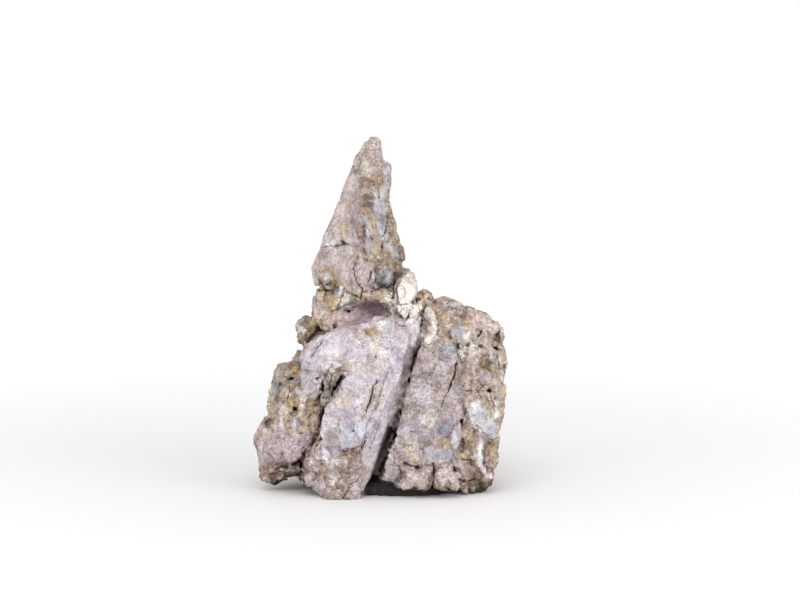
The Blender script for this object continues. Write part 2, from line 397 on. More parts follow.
# hairlines in the skin, drawn the same way
HAIRS = [
    (0.8, 0, [(427, 309), (426, 318), (427, 330), (423.5, 341), (428, 346)]),
    (0.7, 0, [(433, 310), (437, 318), (438, 330), (434, 339), (430, 345)]),
    (0.8, 0, [(382, 302), (385, 308), (389, 312), (394, 319), (399, 326)]),
    (0.7, 0, [(321, 247), (330, 245.5), (339, 245.5), (346, 244.5)]),
    (0.8, 0, [(338, 424), (341, 430), (337, 437), (340, 444), (341, 450), (351, 448), (361, 444), (366, 434)]),
    (0.6, 0, [(361, 447), (364, 440), (367, 431), (366, 424)]),
    (0.6, 0, [(362, 330), (372, 336), (376, 345), (388, 349)]),
    (0.7, 0, [(321, 371), (334, 370), (345, 371), (352, 372)]),
    (0.6, 0, [(396, 346), (391, 352), (388, 362)]),
    (0.6, 0, [(379, 402), (373, 414), (368, 424)]),
    (0.6, 0, [(398, 280), (397, 289), (398.5, 299)]), (0.5, 0, [(398.5, 301), (405, 304), (412, 302), (416, 298)]),
    (0.6, 0, [(399, 305), (397, 311), (402, 318)]), (0.6, 0, [(418, 306), (419, 312), (414, 319)]),
    (0.6, 0, [(386, 290), (391, 294), (390, 300), (394, 306)]), (0.6, 0, [(383, 297), (388, 304), (386, 311)]),
    (0.6, 0, [(388, 313), (393, 310), (396, 315)]), (0.5, 0, [(403, 286), (406, 291), (404, 297)]),
    (0.6, 0, [(341, 234), (342, 240), (345, 243.5)]), (0.5, 0, [(324, 234), (330, 237), (331, 243)]),
    (0.7, 0, [(362, 291), (372, 290), (380, 286), (388, 288), (394, 284)]),
    (0.6, 0, [(414, 376), (424, 372), (432, 374)]),
    (0.6, 0, [(466, 357), (465, 366), (465.5, 374)]),
    (0.5, 0, [(437, 420), (437, 428), (440, 434)]), (0.5, 0, [(454, 424), (452, 432), (447, 437)]),
    (0.5, 0, [(404, 448), (408, 445), (413, 446)]), (0.5, 0, [(423, 455), (424, 461), (420, 466)]),
    (0.7, 0, [(466, 415), (472, 424), (480, 427), (486, 437), (485, 449), (483, 462), (488, 476)]),
    (0.6, 0, [(486, 438), (493, 441), (498, 436)]),
    (0.7, 0, [(478, 345), (484, 336), (494, 338), (499, 345)]),
    (0.7, 0, [(448, 344), (457, 349), (466, 346), (475, 349)]),
    (0.6, 0, [(440, 300), (446, 306), (453, 309), (462, 306), (468, 311)]),
    (0.6, 0, [(277, 400), (284, 402), (289, 397), (289, 388)]),
    (0.6, 0, [(305, 461), (313, 459), (321, 462), (330, 458), (337, 460)]),
    (0.6, 0, [(317, 474), (325, 478), (327, 488), (322, 497)]),
    (0.6, 0, [(341, 470), (348, 474), (355, 471), (362, 474)]),
]

# pits: (u, v, radius in mm, depth share)
PITS = [
    (474, 324, 1.1, 1.0), (432.5, 385, 2.0, 0.8), (269.5, 423, 3.2, 0.8), (488.5, 368, 1.8, 0.9), (386, 458, 1.4, 1.0),
    (348, 311, 1.5, 1.1), (394, 282, 1.2, 1.0), (305, 329, 2.2, 0.8), (353, 431, 1.1, 0.8),
    (292, 378, 1.6, 1.2), (295, 409, 1.8, 1.0), (316, 405, 1.2, 0.9),
    (398, 268, 2.2, 0.9), (336, 283, 1.5, 0.8), (371, 261, 1.8, 0.7), (417, 466, 1.5, 1.0),
    (366, 331, 1.8, 0.6), (461, 421, 1.4, 1.0), (350, 392, 1.2, 0.6), (376, 358, 1.3, 0.6),
    (378, 384, 1.2, 0.6), (358, 442, 1.0, 0.8), (326, 425, 1.2, 0.7), (276, 398, 1.6, 0.7), (285, 392, 1.5, 0.7),
    (470, 381, 1.6, 0.8), (489, 391, 1.8, 1.0), (455, 470, 1.4, 0.9), (404, 465, 1.6, 0.8), (344, 243, 1.2, 0.9),
]

# plates that stand proud of the face round them: (height in mm, outline on the sheet)
PLATES = [
    (1.5, [(338, 424), (343, 414), (352, 410), (361, 414), (366, 424), (366, 437), (361, 446), (350, 449), (341, 449),
           (337, 438)]),
    (1.0, [(397.5, 282), (400, 278.5), (404, 279), (407, 284), (411, 284), (415, 288), (416, 293), (413.5, 298),
           (411, 302.5), (405, 303), (400, 304.2), (397.5, 300), (396.6, 291)]),
    (1.0, [(395.5, 306), (400, 304.8), (406, 304.2), (413, 303.6), (412, 308), (408, 315), (404.5, 320), (401, 316),
           (398, 311)]),
    (1.0, [(415, 304), (419, 302.6), (422, 306), (420.4, 311), (416.5, 317), (411.6, 322.6), (405.6, 323), (409.4, 315),
           (412.6, 308)]),
    (1.0, [(430, 320), (434, 318), (437, 323), (438, 330), (435, 337), (432, 343), (427, 346), (422.6, 343), (426, 338),
           (430, 334), (432.5, 328)]),
    (0.8, [(423, 310), (427, 307), (431, 308), (434, 313), (435, 318), (430, 318), (425, 316)]),
    (1.0, [(465, 408), (472, 401), (480, 406), (484, 416), (495, 423), (499, 432), (494, 441), (486, 432), (476, 424),
           (467, 420)]),
    (1.0, [(367, 327), (378, 321), (388, 320), (389, 330), (387, 342), (372, 342), (366, 336)]),
    (0.9, [(320, 344), (337, 339), (345, 345), (344, 366), (330, 371), (318, 368), (314, 356)]),
    (0.9, [(438, 426), (444, 423), (452, 427), (451, 436), (442, 437), (437, 432)]),
    (0.9, [(325, 272), (331, 271), (334, 277), (331, 283), (325, 282), (322, 277)]),
]


# ---------------------------------------------------------------- noise
RNG = np.random.default_rng(41)
LATTICE = RNG.random(64 * 64 * 64).astype(F32) * 2 - 1
JITTER = RNG.random((64 * 64 * 64, 3)).astype(F32)
DICE = RNG.random((64 * 64 * 64, 4)).astype(F32)


def leaned(p):
    """Coordinates along the bedding, which leans right in the slabs and left in the peak, and the fragments' size."""
    high = p[:, 2] > 151 + 0.15 * p[:, 0]
    t = np.where(high, math.radians(-9), LEAN).astype(F32)
    q = np.stack([p[:, 0] * np.cos(t) - p[:, 2] * np.sin(t), p[:, 1], p[:, 0] * np.sin(t) + p[:, 2] * np.cos(t)], axis=1)
    size = np.where(high[:, None], np.array([6.2, 7.5, 15.0]), np.array([8.6, 8.6, 11.5])).astype(F32)
    return q, size, t


def cells(p, warp):
    """The large and the small fragments at points: for each, the gap to the next, the cell and the way to its middle."""
    lean, size, t = leaned(p)
    first, second, big, big_way = fragments(lean / size + warp * F32(0.26) + swell(p, 2.6, 18)[:, None] * F32(0.05))
    gap = second - first
    first, second, small, small_way = fragments(lean / (size * F32(0.42)) + warp * F32(0.5) + 20)
    return lean, t, gap, big, big_way, second - first, small, small_way * (size * F32(0.42))


def swell(p, size, seed=0.0):
    """Smooth noise from -1 to 1 with humps of about this size in mm, at points (N, 3)."""
    q = p * F32(1.0 / size) + np.array([seed * 7.31, seed * 3.77 + 11.0, seed * 5.13 + 29.0], F32)
    i = np.floor(q)
    f = q - i
    i = i.astype(np.int32)
    w = f * f * f * (f * (f * 6 - 15) + 10)
    x0, y0, z0 = (i[:, 0] & 63) << 12, (i[:, 1] & 63) << 6, i[:, 2] & 63
    x1, y1, z1 = ((i[:, 0] + 1) & 63) << 12, ((i[:, 1] + 1) & 63) << 6, (i[:, 2] + 1) & 63
    wx, wy, wz = w[:, 0], w[:, 1], w[:, 2]
    a = LATTICE[x0 + y0 + z0] * (1 - wz) + LATTICE[x0 + y0 + z1] * wz
    b = LATTICE[x0 + y1 + z0] * (1 - wz) + LATTICE[x0 + y1 + z1] * wz
    c = LATTICE[x1 + y0 + z0] * (1 - wz) + LATTICE[x1 + y0 + z1] * wz
    d = LATTICE[x1 + y1 + z0] * (1 - wz) + LATTICE[x1 + y1 + z1] * wz
    a += (b - a) * wy
    c += (d - c) * wy
    return a + (c - a) * wx


def fragments(q):
    """The cell of each point: distances to the nearest and the next middle, the cell, and the way to its middle."""
    i = np.floor(q).astype(np.int32)
    f = q - i
    n = len(q)
    best, after = np.full(n, 9.0, F32), np.full(n, 9.0, F32)
    cell, way = np.zeros(n, np.int32), np.zeros((n, 3), F32)
    for dx in (-1, 0, 1):
        for dy in (-1, 0, 1):
            for dz in (-1, 0, 1):
                k = (((i[:, 0] + dx) & 63) << 12) + (((i[:, 1] + dy) & 63) << 6) + ((i[:, 2] + dz) & 63)
                g = JITTER[k] + np.array([dx, dy, dz], F32) - f
                d = np.einsum("ij,ij->i", g, g)
                near = d < best
                after = np.where(near, best, np.minimum(after, d))
                best = np.where(near, d, best)
                cell[near] = k[near]
                way[near] = g[near]
    return np.sqrt(best), np.sqrt(after), cell, way


def step(a, b, x):
    t = np.clip((x - a) / (b - a), 0, 1)
    return t * t * (3 - 2 * t)


def in_chunks(work, p, size=400000):
    """Runs work on slices of the points and joins what it returns."""
    parts = [work(p[k:k + size]) for k in range(0, len(p), size)]
    if isinstance(parts[0], tuple):
        return tuple(np.concatenate([part[j] for part in parts]) for j in range(len(parts[0])))
    return np.concatenate(parts)


# ---------------------------------------------------------------- the field: distance below or above the skin, in mm
LOOKS = ["tip", "mauve", "broken", "shoulder", "back", "neck", "lobe", "knob", "calcite", "crust", "slab", "strip",
         "tooth", "limb", "vein", "foot", "lobe_pink", "lobe_foot", "block", "block_right", "block_top", "toe", "toe_dark",
         "back_slab", "boss", "nodule", "hollow", "dark", "brown", "under", "wall"]
LOOK = {name: k for k, name in enumerate(LOOKS)}
# how strongly the fragments stand out in each look
RELIEF = dict(tip=0.30, mauve=0.30, broken=1.0, shoulder=0.8, back=0.8, neck=1.1, lobe=0.95, knob=1.0, calcite=0.38,
              crust=1.2, slab=0.32, strip=0.22, tooth=0.8, limb=0.45, vein=0.3, foot=0.7, lobe_pink=0.5, lobe_foot=0.9, block=0.5,
              block_right=0.85, block_top=0.85, toe=0.9, toe_dark=1.0, back_slab=0.45, boss=0.25, nodule=0.4,
              hollow=0.12, dark=0.8, brown=0.7, under=0.8, wall=0.5)
RELIEF_OF = np.array([RELIEF[name] for name in LOOKS], F32)


def hull_planes(points):
    """Outward planes (normal, offset) of the convex lump round these points."""
    bm = bmesh.new()
    for p in points:
        bm.verts.new(Vector(p) * 0.01)
    bmesh.ops.convex_hull(bm, input=bm.verts[:])
    bm.normal_update()
    middle = np.mean(points, axis=0)
    planes = []
    for face in bm.faces:
        n = np.array(face.normal)
        if np.linalg.norm(n) < 0.5:
            continue
        d = float(n @ (np.array(face.verts[0].co) * 100))
        if n @ middle > d:
            n, d = -n, -d
        planes.append((n[0], n[1], n[2], d))
    bm.free()
    rows = np.array(planes)
    keep = []
    for r in rows:
        if not any(np.abs(r[:3] - k[:3]).max() < 0.01 and abs(r[3] - k[3]) < 0.1 for k in keep):
            keep.append(r)
    return np.array(keep, F32)


class Lump:
    """A convex lump."""

    def __init__(self, look, points):
        self.look = LOOK[look]
        self.planes = hull_planes(points)
        self.low, self.high = np.min(points, axis=0).astype(F32), np.max(points, axis=0).astype(F32)

    def field(self, p):
        return (p @ self.planes[:, :3].T - self.planes[:, 3]).max(axis=1)


class Ball:
    """An egg-shaped lump."""

    def __init__(self, look, middle, half, turn):
        self.look = LOOK[look]
        t = math.radians(turn)
        self.middle, self.half = np.array(middle, F32), np.array(half, F32)
        self.turn = np.array([[math.cos(t), 0, math.sin(t)], [0, 1, 0], [-math.sin(t), 0, math.cos(t)]], F32)
        reach = float(max(half))
        self.low, self.high = self.middle - reach, self.middle + reach

    def field(self, p):
        q = ((p - self.middle) @ self.turn) / self.half
        r = np.sqrt(np.einsum("ij,ij->i", q, q)) + F32(1e-6)
        g = q / self.half
        return r * (r - 1) / (np.sqrt(np.einsum("ij,ij->i", g, g)) + F32(1e-6))


def chunk(look, middle, half, turn, seed):
    """A broken, angular lump of about these half-lengths."""
    rng = np.random.default_rng(seed)
    count = 24 if look in ("boss", "lobe_pink", "nodule") else 15
    k = np.arange(count) + 0.5
    tall = 1 - 2 * k / count
    round_ = math.pi * (1 + 5 ** 0.5) * k + rng.uniform(0, 6.28)
    way = np.stack([np.sqrt(1 - tall ** 2) * np.cos(round_), np.sqrt(1 - tall ** 2) * np.sin(round_), tall], axis=1)
    way += rng.normal(0, 0.16, way.shape)
    way /= np.linalg.norm(way, axis=1)[:, None]
    points = way * np.array(half) * rng.uniform(0.98, 1.22, (count, 1))
    t = math.radians(turn)
    spin = np.array([[math.cos(t), 0, math.sin(t)], [0, 1, 0], [-math.sin(t), 0, math.cos(t)]])
    return Lump(look, list(points @ spin.T + np.array(middle)))


SOLIDS = [Lump(look, [seen(*p) for p in drawn] + [np.array(p, float) for p in hidden]) for look, drawn, hidden in MASSES]
SOLIDS += [chunk(look, seen(u, v, y), (a, b, c), turn, 100 + k)
           for k, (look, u, v, y, a, b, c, turn) in enumerate(LUMPS)]
SOLIDS += [chunk("back", (x, y, z), (a, b, c), turn, 300 + k) for k, (x, y, z, a, b, c, turn) in enumerate(BACK_LUMPS)]


def station(s):
    v, left, right, mouth, end_u, end = s
    return [seen(left, v, mouth), seen(right, v, mouth), seen(end_u, v, end)]


def back_station(s):
    z, left, right, mouth, end_x, end = s
    return [np.array(q, float) for q in ((left, mouth, z), (right, mouth, z), (end_x, end, z))]


HOLLOWS = [Lump("wall", station(a) + station(b)) for row in CLEFTS for a, b in zip(row, row[1:])]
HOLLOWS += [Lump("wall", back_station(a) + back_station(b)) for row in BACK_CLEFTS for a, b in zip(row, row[1:])]
HOLLOWS += [Ball(look, middle, half, turn) for look, middle, half, turn in SCOOPS]


def near_to(p, shape, margin):
    inside = ((p > shape.low - margin) & (p < shape.high + margin)).all(axis=1)
    return np.flatnonzero(inside)


def body(p, margin=9.0, soft=1.1):
    """The grown masses less the clefts. Returns the distance and the look of the nearest mass."""
    q = p + np.stack([swell(p, 15, 1), swell(p, 15, 2), swell(p, 15, 3)], axis=1) * F32(0.9)
    sd, look = np.full(len(p), 30.0, F32), np.full(len(p), LOOK["back"], np.int8)
    best = np.full(len(p), 30.0, F32)
    for s in SOLIDS:
        k = near_to(q, s, margin)
        if not len(k):
            continue
        d, old = s.field(q[k]), sd[k]
        look[k] = np.where(d < best[k], s.look, look[k])
        best[k] = np.minimum(d, best[k])
        h = np.clip(0.5 + 0.5 * (old - d) / soft, 0, 1)
        sd[k] = old + (d - old) * h - soft * h * (1 - h)
    hard = 0.7
    for s in HOLLOWS:
        k = near_to(q, s, margin)
        if not len(k):
            continue
        d, old = -s.field(q[k]), sd[k]
        look[k] = np.where((d > old - 0.4) & (old < 2), s.look, look[k])
        h = np.clip(0.5 + 0.5 * (d - old) / hard, 0, 1)
        sd[k] = old + (d - old) * h + hard * h * (1 - h)
    return sd, look


def line_distance(u, v, points):
    """Distance on the sheet, in mm, to a line through points, and how far along it."""
    best = np.full(len(u), 1e6, F32)
    for (u0, v0), (u1, v1) in zip(points, points[1:]):
        du, dv = u1 - u0, v1 - v0
        t = np.clip(((u - u0) * du + (v - v0) * dv) / (du * du + dv * dv + 1e-9), 0, 1)
        best = np.minimum(best, (u - u0 - t * du) ** 2 + (v - v0 - t * dv) ** 2)
    return np.sqrt(best) * F32(SHEET_UNIT)


def inside_distance(u, v, points):
    """Signed distance on the sheet, in mm, to an outline: positive inside."""
    best = line_distance(u, v, points + points[:1])
    inside = np.zeros(len(u), bool)
    for (u0, v0), (u1, v1) in zip(points, points[1:] + points[:1]):
        if v0 != v1:
            inside ^= ((v0 > v) != (v1 > v)) & (u < (u1 - u0) * (v - v0) / (v1 - v0) + u0)
    return np.where(inside, best, -best)


def broken_skin(p, sd, relief, rough, warp):
    """Fragments, grain, plates and cracks, for points near the skin."""
    lean, t, gap, cell, way, small_gap, small, small_way = cells(p, warp)
    dice = DICE[cell]
    tilt = (dice[:, :3] - 0.5) * 2
    facet = (dice[:, 3] - 0.5) * 1.5 - np.einsum("ij,ij->i", tilt, way) * 1.5
    move = relief * (np.clip(facet, -1.4, 1.4) * 1.15 - np.exp(-(gap / 0.06) ** 2) * 0.55)
    dice = DICE[small]
    facet = (dice[:, 3] - 0.5) * 1.4 - np.einsum("ij,ij->i", (dice[:, :3] - 0.5) * 0.5, small_way)
    move += rough * np.clip(facet, -1.2, 1.2) * 0.62
    move += swell(p, 2.6, 10) * (0.22 + 0.36 * rough) + swell(p, 1.5, 11) * (0.12 + 0.26 * rough)
    move += swell(lean * np.array([1.0, 1.0, 0.22], F32), 2.6, 12) * 0.22
    front = p[:, 1] < np.where(p[:, 2] > 160, 12, 4)
    u, v = sheet_of(p)
    wu = u + 1.1 * warp[:, 0] + 0.6 * swell(p, 1.8, 14)
    wv = v + 1.1 * warp[:, 2] + 0.6 * swell(p, 1.8, 16)
    for height, outline in PLATES:
        a = np.array(outline)
        k = np.flatnonzero(front & (u > a[:, 0].min() - 4) & (u < a[:, 0].max() + 4) & (v > a[:, 1].min() - 4)
                           & (v < a[:, 1].max() + 4))
        if len(k):
            d = inside_distance(wu[k], wv[k], outline)
            move[k] += height * step(-0.5, 0.5, d)
    return sd - np.clip(move, -2.4, 2.5)


def cracked(p, sd):
    """Cracks and single pits, drawn on the sheet."""
    front = p[:, 1] < np.where(p[:, 2] > 160, 12, 4)
    u, v = sheet_of(p)
    wu = u + 1.1 * swell(p, 4.5, 13) + 0.6 * swell(p, 1.8, 14)
    wv = v + 1.1 * swell(p, 4.5, 15) + 0.6 * swell(p, 1.8, 16)
    below = np.maximum(-sd, 0)
    for width, depth, points in CRACKS:
        a = np.array(points)
        k = np.flatnonzero(front & (u > a[:, 0].min() - 7) & (u < a[:, 0].max() + 7) & (v > a[:, 1].min() - 7)
                           & (v < a[:, 1].max() + 7))
        if not len(k):
            continue
        d = line_distance(wu[k], wv[k], points)
        wide = width * 0.5 * (1 + 0.35 * swell(p[k], 3.2, 17))
        gap = d - wide * (1 - below[k] / depth)
        sd[k] = np.maximum(sd[k], -gap)
    for pu, pv, radius, share in PITS:
        k = np.flatnonzero(front & (np.abs(u - pu) < radius * 3) & (np.abs(v - pv) < radius * 3))
        if len(k):
            d = np.hypot((wu[k] - pu) * SHEET_UNIT, (wv[k] - pv) * SHEET_UNIT)
            sd[k] = np.maximum(sd[k], radius - np.hypot(d, sd[k] / share))
    return sd


# ---------------------------------------------------------------- the skin
CELL = 0.8
LOW = np.array([-99.2, -68.8, -2.4], F32)
COUNT = (248, 184, 336)


def between(a):
    """A field on every other point, drawn out to every point."""
    for axis in range(3):
        after = np.concatenate([np.take(a, range(1, a.shape[axis]), axis), np.take(a, [-1], axis)], axis)
        shape = list(a.shape)
        shape[axis] *= 2
        out = np.empty(shape, F32)
        at = [slice(None)] * 3
        at[axis] = slice(0, None, 2)
        out[tuple(at)] = a
        at[axis] = slice(1, None, 2)
        out[tuple(at)] = (a + after) * F32(0.5)
        a = out
    return a


def blur(a):
    for axis in range(3):
        a = (np.roll(a, 1, axis) + a * 2 + np.roll(a, -1, axis)) * F32(0.25)
    return a


def grid_field():
    """The field on the whole grid; exact near the skin, and only its sign elsewhere."""
    nx, ny, nz = (c // 4 for c in COUNT)
    axes = [LOW[k] + (np.arange(n) * 4 + 1.0) * CELL for k, n in enumerate((nx, ny, nz))]
    blocks = np.stack(np.meshgrid(*axes, indexing="ij"), axis=-1).reshape(-1, 3).astype(F32)
    guess, _ = body(blocks, margin=14)
    near = ((guess > -11.5) & (guess < 8.8)).reshape(nx, ny, nz).repeat(2, 0).repeat(2, 1).repeat(2, 2)
    sd = np.where(guess > 0, F32(9), F32(-9)).reshape(nx, ny, nz).repeat(2, 0).repeat(2, 1).repeat(2, 2)
    k = np.flatnonzero(near)
    at = np.unravel_index(k, near.shape)
    p = (LOW + np.stack(at, axis=1) * F32(2 * CELL)).astype(F32)
    d, look = in_chunks(lambda c: body(c, margin=11), p)
    relief = np.full(near.shape, 0.7, F32)
    relief.reshape(-1)[k] = RELIEF_OF[look]
    relief = blur(relief)
    r = relief.reshape(-1)[k]
    layers = [swell(p, 22, 8) * 1.1 * np.clip(r + 0.2, 0, 1) + swell(p, 9, 9) * (0.35 + 0.45 * r),
              np.clip(r, 0.3, 1.2) * (0.65 + 0.55 * swell(p, 17, 7)), swell(p, 6, 4), swell(p, 6, 5), swell(p, 6, 6)]
    sd.reshape(-1)[k] = d - layers[0]
    full = between(sd)
    close = np.flatnonzero((full > -3.6) & (full < 3.4))
    fine = [full.reshape(-1)[close], between(relief).reshape(-1)[close]]
    for layer in layers[1:]:
        whole = np.zeros(near.shape, F32)
        whole.reshape(-1)[k] = layer
        fine.append(between(whole).reshape(-1)[close])
    at = np.unravel_index(close, full.shape)
    p = (LOW + np.stack(at, axis=1) * F32(CELL)).astype(F32)
    both = np.concatenate([p, np.stack(fine, axis=1)], axis=1)
    full.reshape(-1)[close] = in_chunks(lambda c: broken_skin(c[:, :3], c[:, 3], c[:, 4], c[:, 5], c[:, 6:9]), both)
    deep = np.flatnonzero((full > -8.4) & (full < 3.0))
    ix, iy, iz = np.unravel_index(deep, full.shape)
    front = LOW[1] + iy * CELL < 12
    deep = deep[front]
    p = (LOW + np.stack([ix[front], iy[front], iz[front]], axis=1) * F32(CELL)).astype(F32)
    full.reshape(-1)[deep] = in_chunks(lambda c: cracked(c[:, :3], c[:, 3].copy()),
                                       np.concatenate([p, full.reshape(-1)[deep][:, None]], axis=1))
    z = LOW[2] + np.arange(COUNT[2]) * CELL
    np.maximum(full, -z[None, None, :].astype(F32), out=full)
    trimmed(full)
    pitted(full, relief)
    trimmed(full)
    return full


def pitted(full, relief):
    """Small weathered pits all over, fewer on the smooth faces."""
    rng = np.random.default_rng(7)
    skin = np.flatnonzero(np.abs(full.reshape(-1)) < 0.3)
    picks = skin[rng.integers(0, len(skin), 1300)]
    ix, iy, iz = np.unravel_index(picks, full.shape)
    chance = relief[ix // 2, iy // 2, iz // 2] * 0.75 + 0.05
    chance = np.where(LOW[1] + iy * CELL < 6, chance * 0.10, chance)
    keep = (rng.random(len(picks)) < chance) & (iz > 6)
    for x, y, z in zip(ix[keep], iy[keep], iz[keep]):
        half = rng.uniform(0.6, 1.0, 3) * rng.uniform(0.6, 1.35)
        reach = int(math.ceil((half.max() + 0.6) / CELL))
        lo = [max(a - reach, 0) for a in (x, y, z)]
        hi = [min(a + reach + 1, n) for a, n in zip((x, y, z), full.shape)]
        part = full[lo[0]:hi[0], lo[1]:hi[1], lo[2]:hi[2]]
        grid = np.meshgrid(*[(np.arange(a, b) - c) * CELL for a, b, c in zip(lo, hi, (x, y, z))], indexing="ij")
        r = np.sqrt(sum((g / h) ** 2 for g, h in zip(grid, half)))
        np.maximum(part, ((1 - r) * half.mean()).astype(F32), out=part)


def trimmed(full):
    """Takes off spikes and flakes: whatever stands more than two cells out from the solid stone."""
    solid = full < -0.75
    for _ in range(2):
        for axis in range(3):
            solid = solid | np.roll(solid, 1, axis) | np.roll(solid, -1, axis)
    full[(full < 0) & ~solid] = 0.3


def net(field):
    """The skin of the field as vertices and quads."""
    inside = field < 0
    nx, ny, nz = field.shape
    some = np.zeros((nx - 1, ny - 1, nz - 1), bool)
    every = np.ones_like(some)
    corners = [(a, b, c) for a in (0, 1) for b in (0, 1) for c in (0, 1)]
    for a, b, c in corners:
        part = inside[a:nx - 1 + a, b:ny - 1 + b, c:nz - 1 + c]
        some |= part
        every &= part
    cells = np.flatnonzero(some & ~every)
    cx, cy, cz = np.unravel_index(cells, some.shape)
    value = {(a, b, c): field[cx + a, cy + b, cz + c] for a, b, c in corners}
    total, count = np.zeros((len(cells), 3), F32), np.zeros(len(cells), F32)
    for a, b, c in corners:
        for axis in range(3):
            if (a, b, c)[axis]:
                continue
            other = [a, b, c]
            other[axis] = 1
            f0, f1 = value[(a, b, c)], value[tuple(other)]
            cross = (f0 < 0) != (f1 < 0)
            t = np.where(cross, f0 / np.where(cross, f0 - f1, 1), 0)
            at = np.array([a, b, c], F32)[None, :].repeat(len(cells), 0)
            at[:, axis] = t
            total += at * cross[:, None]
            count += cross
    verts = LOW + (np.stack([cx, cy, cz], axis=1) + total / count[:, None]) * CELL
    number = np.full(some.shape, -1, np.int32)
    number.reshape(-1)[cells] = np.arange(len(cells), dtype=np.int32)
    quads = []
    for axis in range(3):
        lo = [slice(None)] * 3
        hi = [slice(None)] * 3
        lo[axis], hi[axis] = slice(0, -1), slice(1, None)
        change = inside[tuple(lo)] != inside[tuple(hi)]
        e = np.stack(np.nonzero(change), axis=1)
        b, c = [k for k in range(3) if k != axis]
        e = e[(e[:, b] > 0) & (e[:, c] > 0) & (e[:, b] < field.shape[b] - 1) & (e[:, c] < field.shape[c] - 1)]
        filled = inside[e[:, 0], e[:, 1], e[:, 2]]
        ring = []
        for db, dc in ((-1, -1), (0, -1), (0, 0), (-1, 0)):
            g = e.copy()
            g[:, b] += db
            g[:, c] += dc
            ring.append(number[g[:, 0], g[:, 1], g[:, 2]])
        quad = np.stack(ring, axis=1)
        flip = filled if axis != 1 else ~filled
        quads.append(np.where(flip[:, None], quad, quad[:, ::-1]))
    return verts, np.concatenate(quads)


def make_mesh(name, verts, faces):
    mesh = bpy.data.meshes.new(name)
    sides = faces.shape[1]
    mesh.vertices.add(len(verts))
    mesh.vertices.foreach_set("co", np.ascontiguousarray(verts, F32).ravel())
    mesh.loops.add(len(faces) * sides)
    mesh.loops.foreach_set("vertex_index", np.ascontiguousarray(faces, np.int32).ravel())
    mesh.polygons.add(len(faces))
    mesh.polygons.foreach_set("loop_start", np.arange(0, len(faces) * sides, sides, dtype=np.int32))
    mesh.update(calc_edges=True)
    return mesh


def largest(verts, faces):
    """Keeps only the biggest connected body."""
    label = np.arange(len(verts))
    while True:
        low = label[faces].min(axis=1)
        before = label.copy()
        for k in range(faces.shape[1]):
            np.minimum.at(label, faces[:, k], low)
        label = label[label]
        if (label == before).all():
            break
    keep_label = np.bincount(label).argmax()
    keep = label == keep_label
    new = np.cumsum(keep) - 1
    return verts[keep], new[faces[keep[faces[:, 0]]]]


field = grid_field()
verts, quads = net(field)
verts, quads = largest(verts, quads)

TRIANGLES = 190000
rock = bpy.data.objects.new("rock_skin", make_mesh("rock_skin", verts, quads))
bpy.context.scene.collection.objects.link(rock)
group = rock.vertex_groups.new(name="plain")
unseen = step(-10, 20, verts[:, 1]) * 0.5 + 0.5
for k in range(6):
    part = np.flatnonzero(np.round((unseen - 0.5) * 10) == k)
    group.add(part.tolist(), 0.5 + k / 10, "REPLACE")
m = rock.modifiers.new("thin", "DECIMATE")
m.ratio = TRIANGLES / (2 * len(quads))
m.vertex_group = "plain"
m.vertex_group_factor = 0.002
bpy.context.view_layer.update()
thin = bpy.data.meshes.new_from_object(rock.evaluated_get(bpy.context.evaluated_depsgraph_get()))
rock.modifiers.clear()
work = bmesh.new()
work.from_mesh(thin)
twins = {}
for face in work.faces:
    twins.setdefault(frozenset(v.index for v in face.verts), []).append(face)
bmesh.ops.delete(work, geom=[face for pair in twins.values() if len(pair) > 1 for face in pair], context="FACES")
work.to_mesh(thin)
work.free()
rock.vertex_groups.clear()
rock.data = thin
thin.name = "rock_skin"
co = np.empty(len(thin.vertices) * 3, F32)
thin.vertices.foreach_get("co", co)
co = co.reshape(-1, 3)
co[:, 2] = np.maximum(co[:, 2], 0)
thin.vertices.foreach_set("co", (co * F32(0.001)).ravel())
thin.polygons.foreach_set("use_smooth", np.ones(len(thin.polygons), bool))
thin.update()

# ---------------------------------------------------------------- colours of the stone
PAINT = dict(
    mauve=(205, 189, 190), mauve_light=(219, 206, 207), mauve_dark=(172, 153, 158), mauve_deep=(134, 114, 122),
    lilac=(214, 204, 211), lilac_deep=(188, 175, 190), lilac_light=(226, 218, 223), pink=(216, 198, 197),
    pink_white=(236, 229, 230), cream=(234, 226, 214), beige=(206, 192, 175), beige_grey=(188, 178, 169),
    grey=(160, 152, 149), grey_dark=(112, 104, 102), grey_green=(160, 160, 148), green_white=(222, 223, 211),
    blue=(174, 177, 188), blue_pale=(202, 205, 213), blue_white=(224, 227, 233), blue_deep=(134, 137, 151),
    ochre=(186, 163, 132), ochre_strong=(170, 138, 92), ochre_pale=(210, 193, 168), ochre_brown=(144, 118, 90),
    brown=(120, 97, 82), brown_dark=(76, 61, 54), brown_mauve=(146, 126, 120), brown_light=(160, 140, 124),
    white=(246, 242, 239), yellow_cream=(216, 205, 176), yellow_green=(188, 182, 130), crust=(186, 172, 161),
    crust_dark=(150, 135, 124), black=(46, 38, 34))


def linear(name):
    c = np.array(PAINT[name]) / 255
    return np.where(c <= 0.04045, c / 12.92, ((c + 0.055) / 1.055) ** 2.4).astype(F32)


GAIN = dict(tip=0.72, mauve=0.79, broken=0.74, shoulder=0.85, boss=0.76, nodule=0.85, neck=1.06, hollow=0.82, calcite=0.92,
            crust=1.25, slab=0.87, strip=0.93, limb=0.84, tooth=0.95, lobe=1.0, lobe_pink=0.85, block=0.74, block_right=1.04,
            block_top=1.08, toe=1.06, toe_dark=1.3, lobe_foot=1.3)

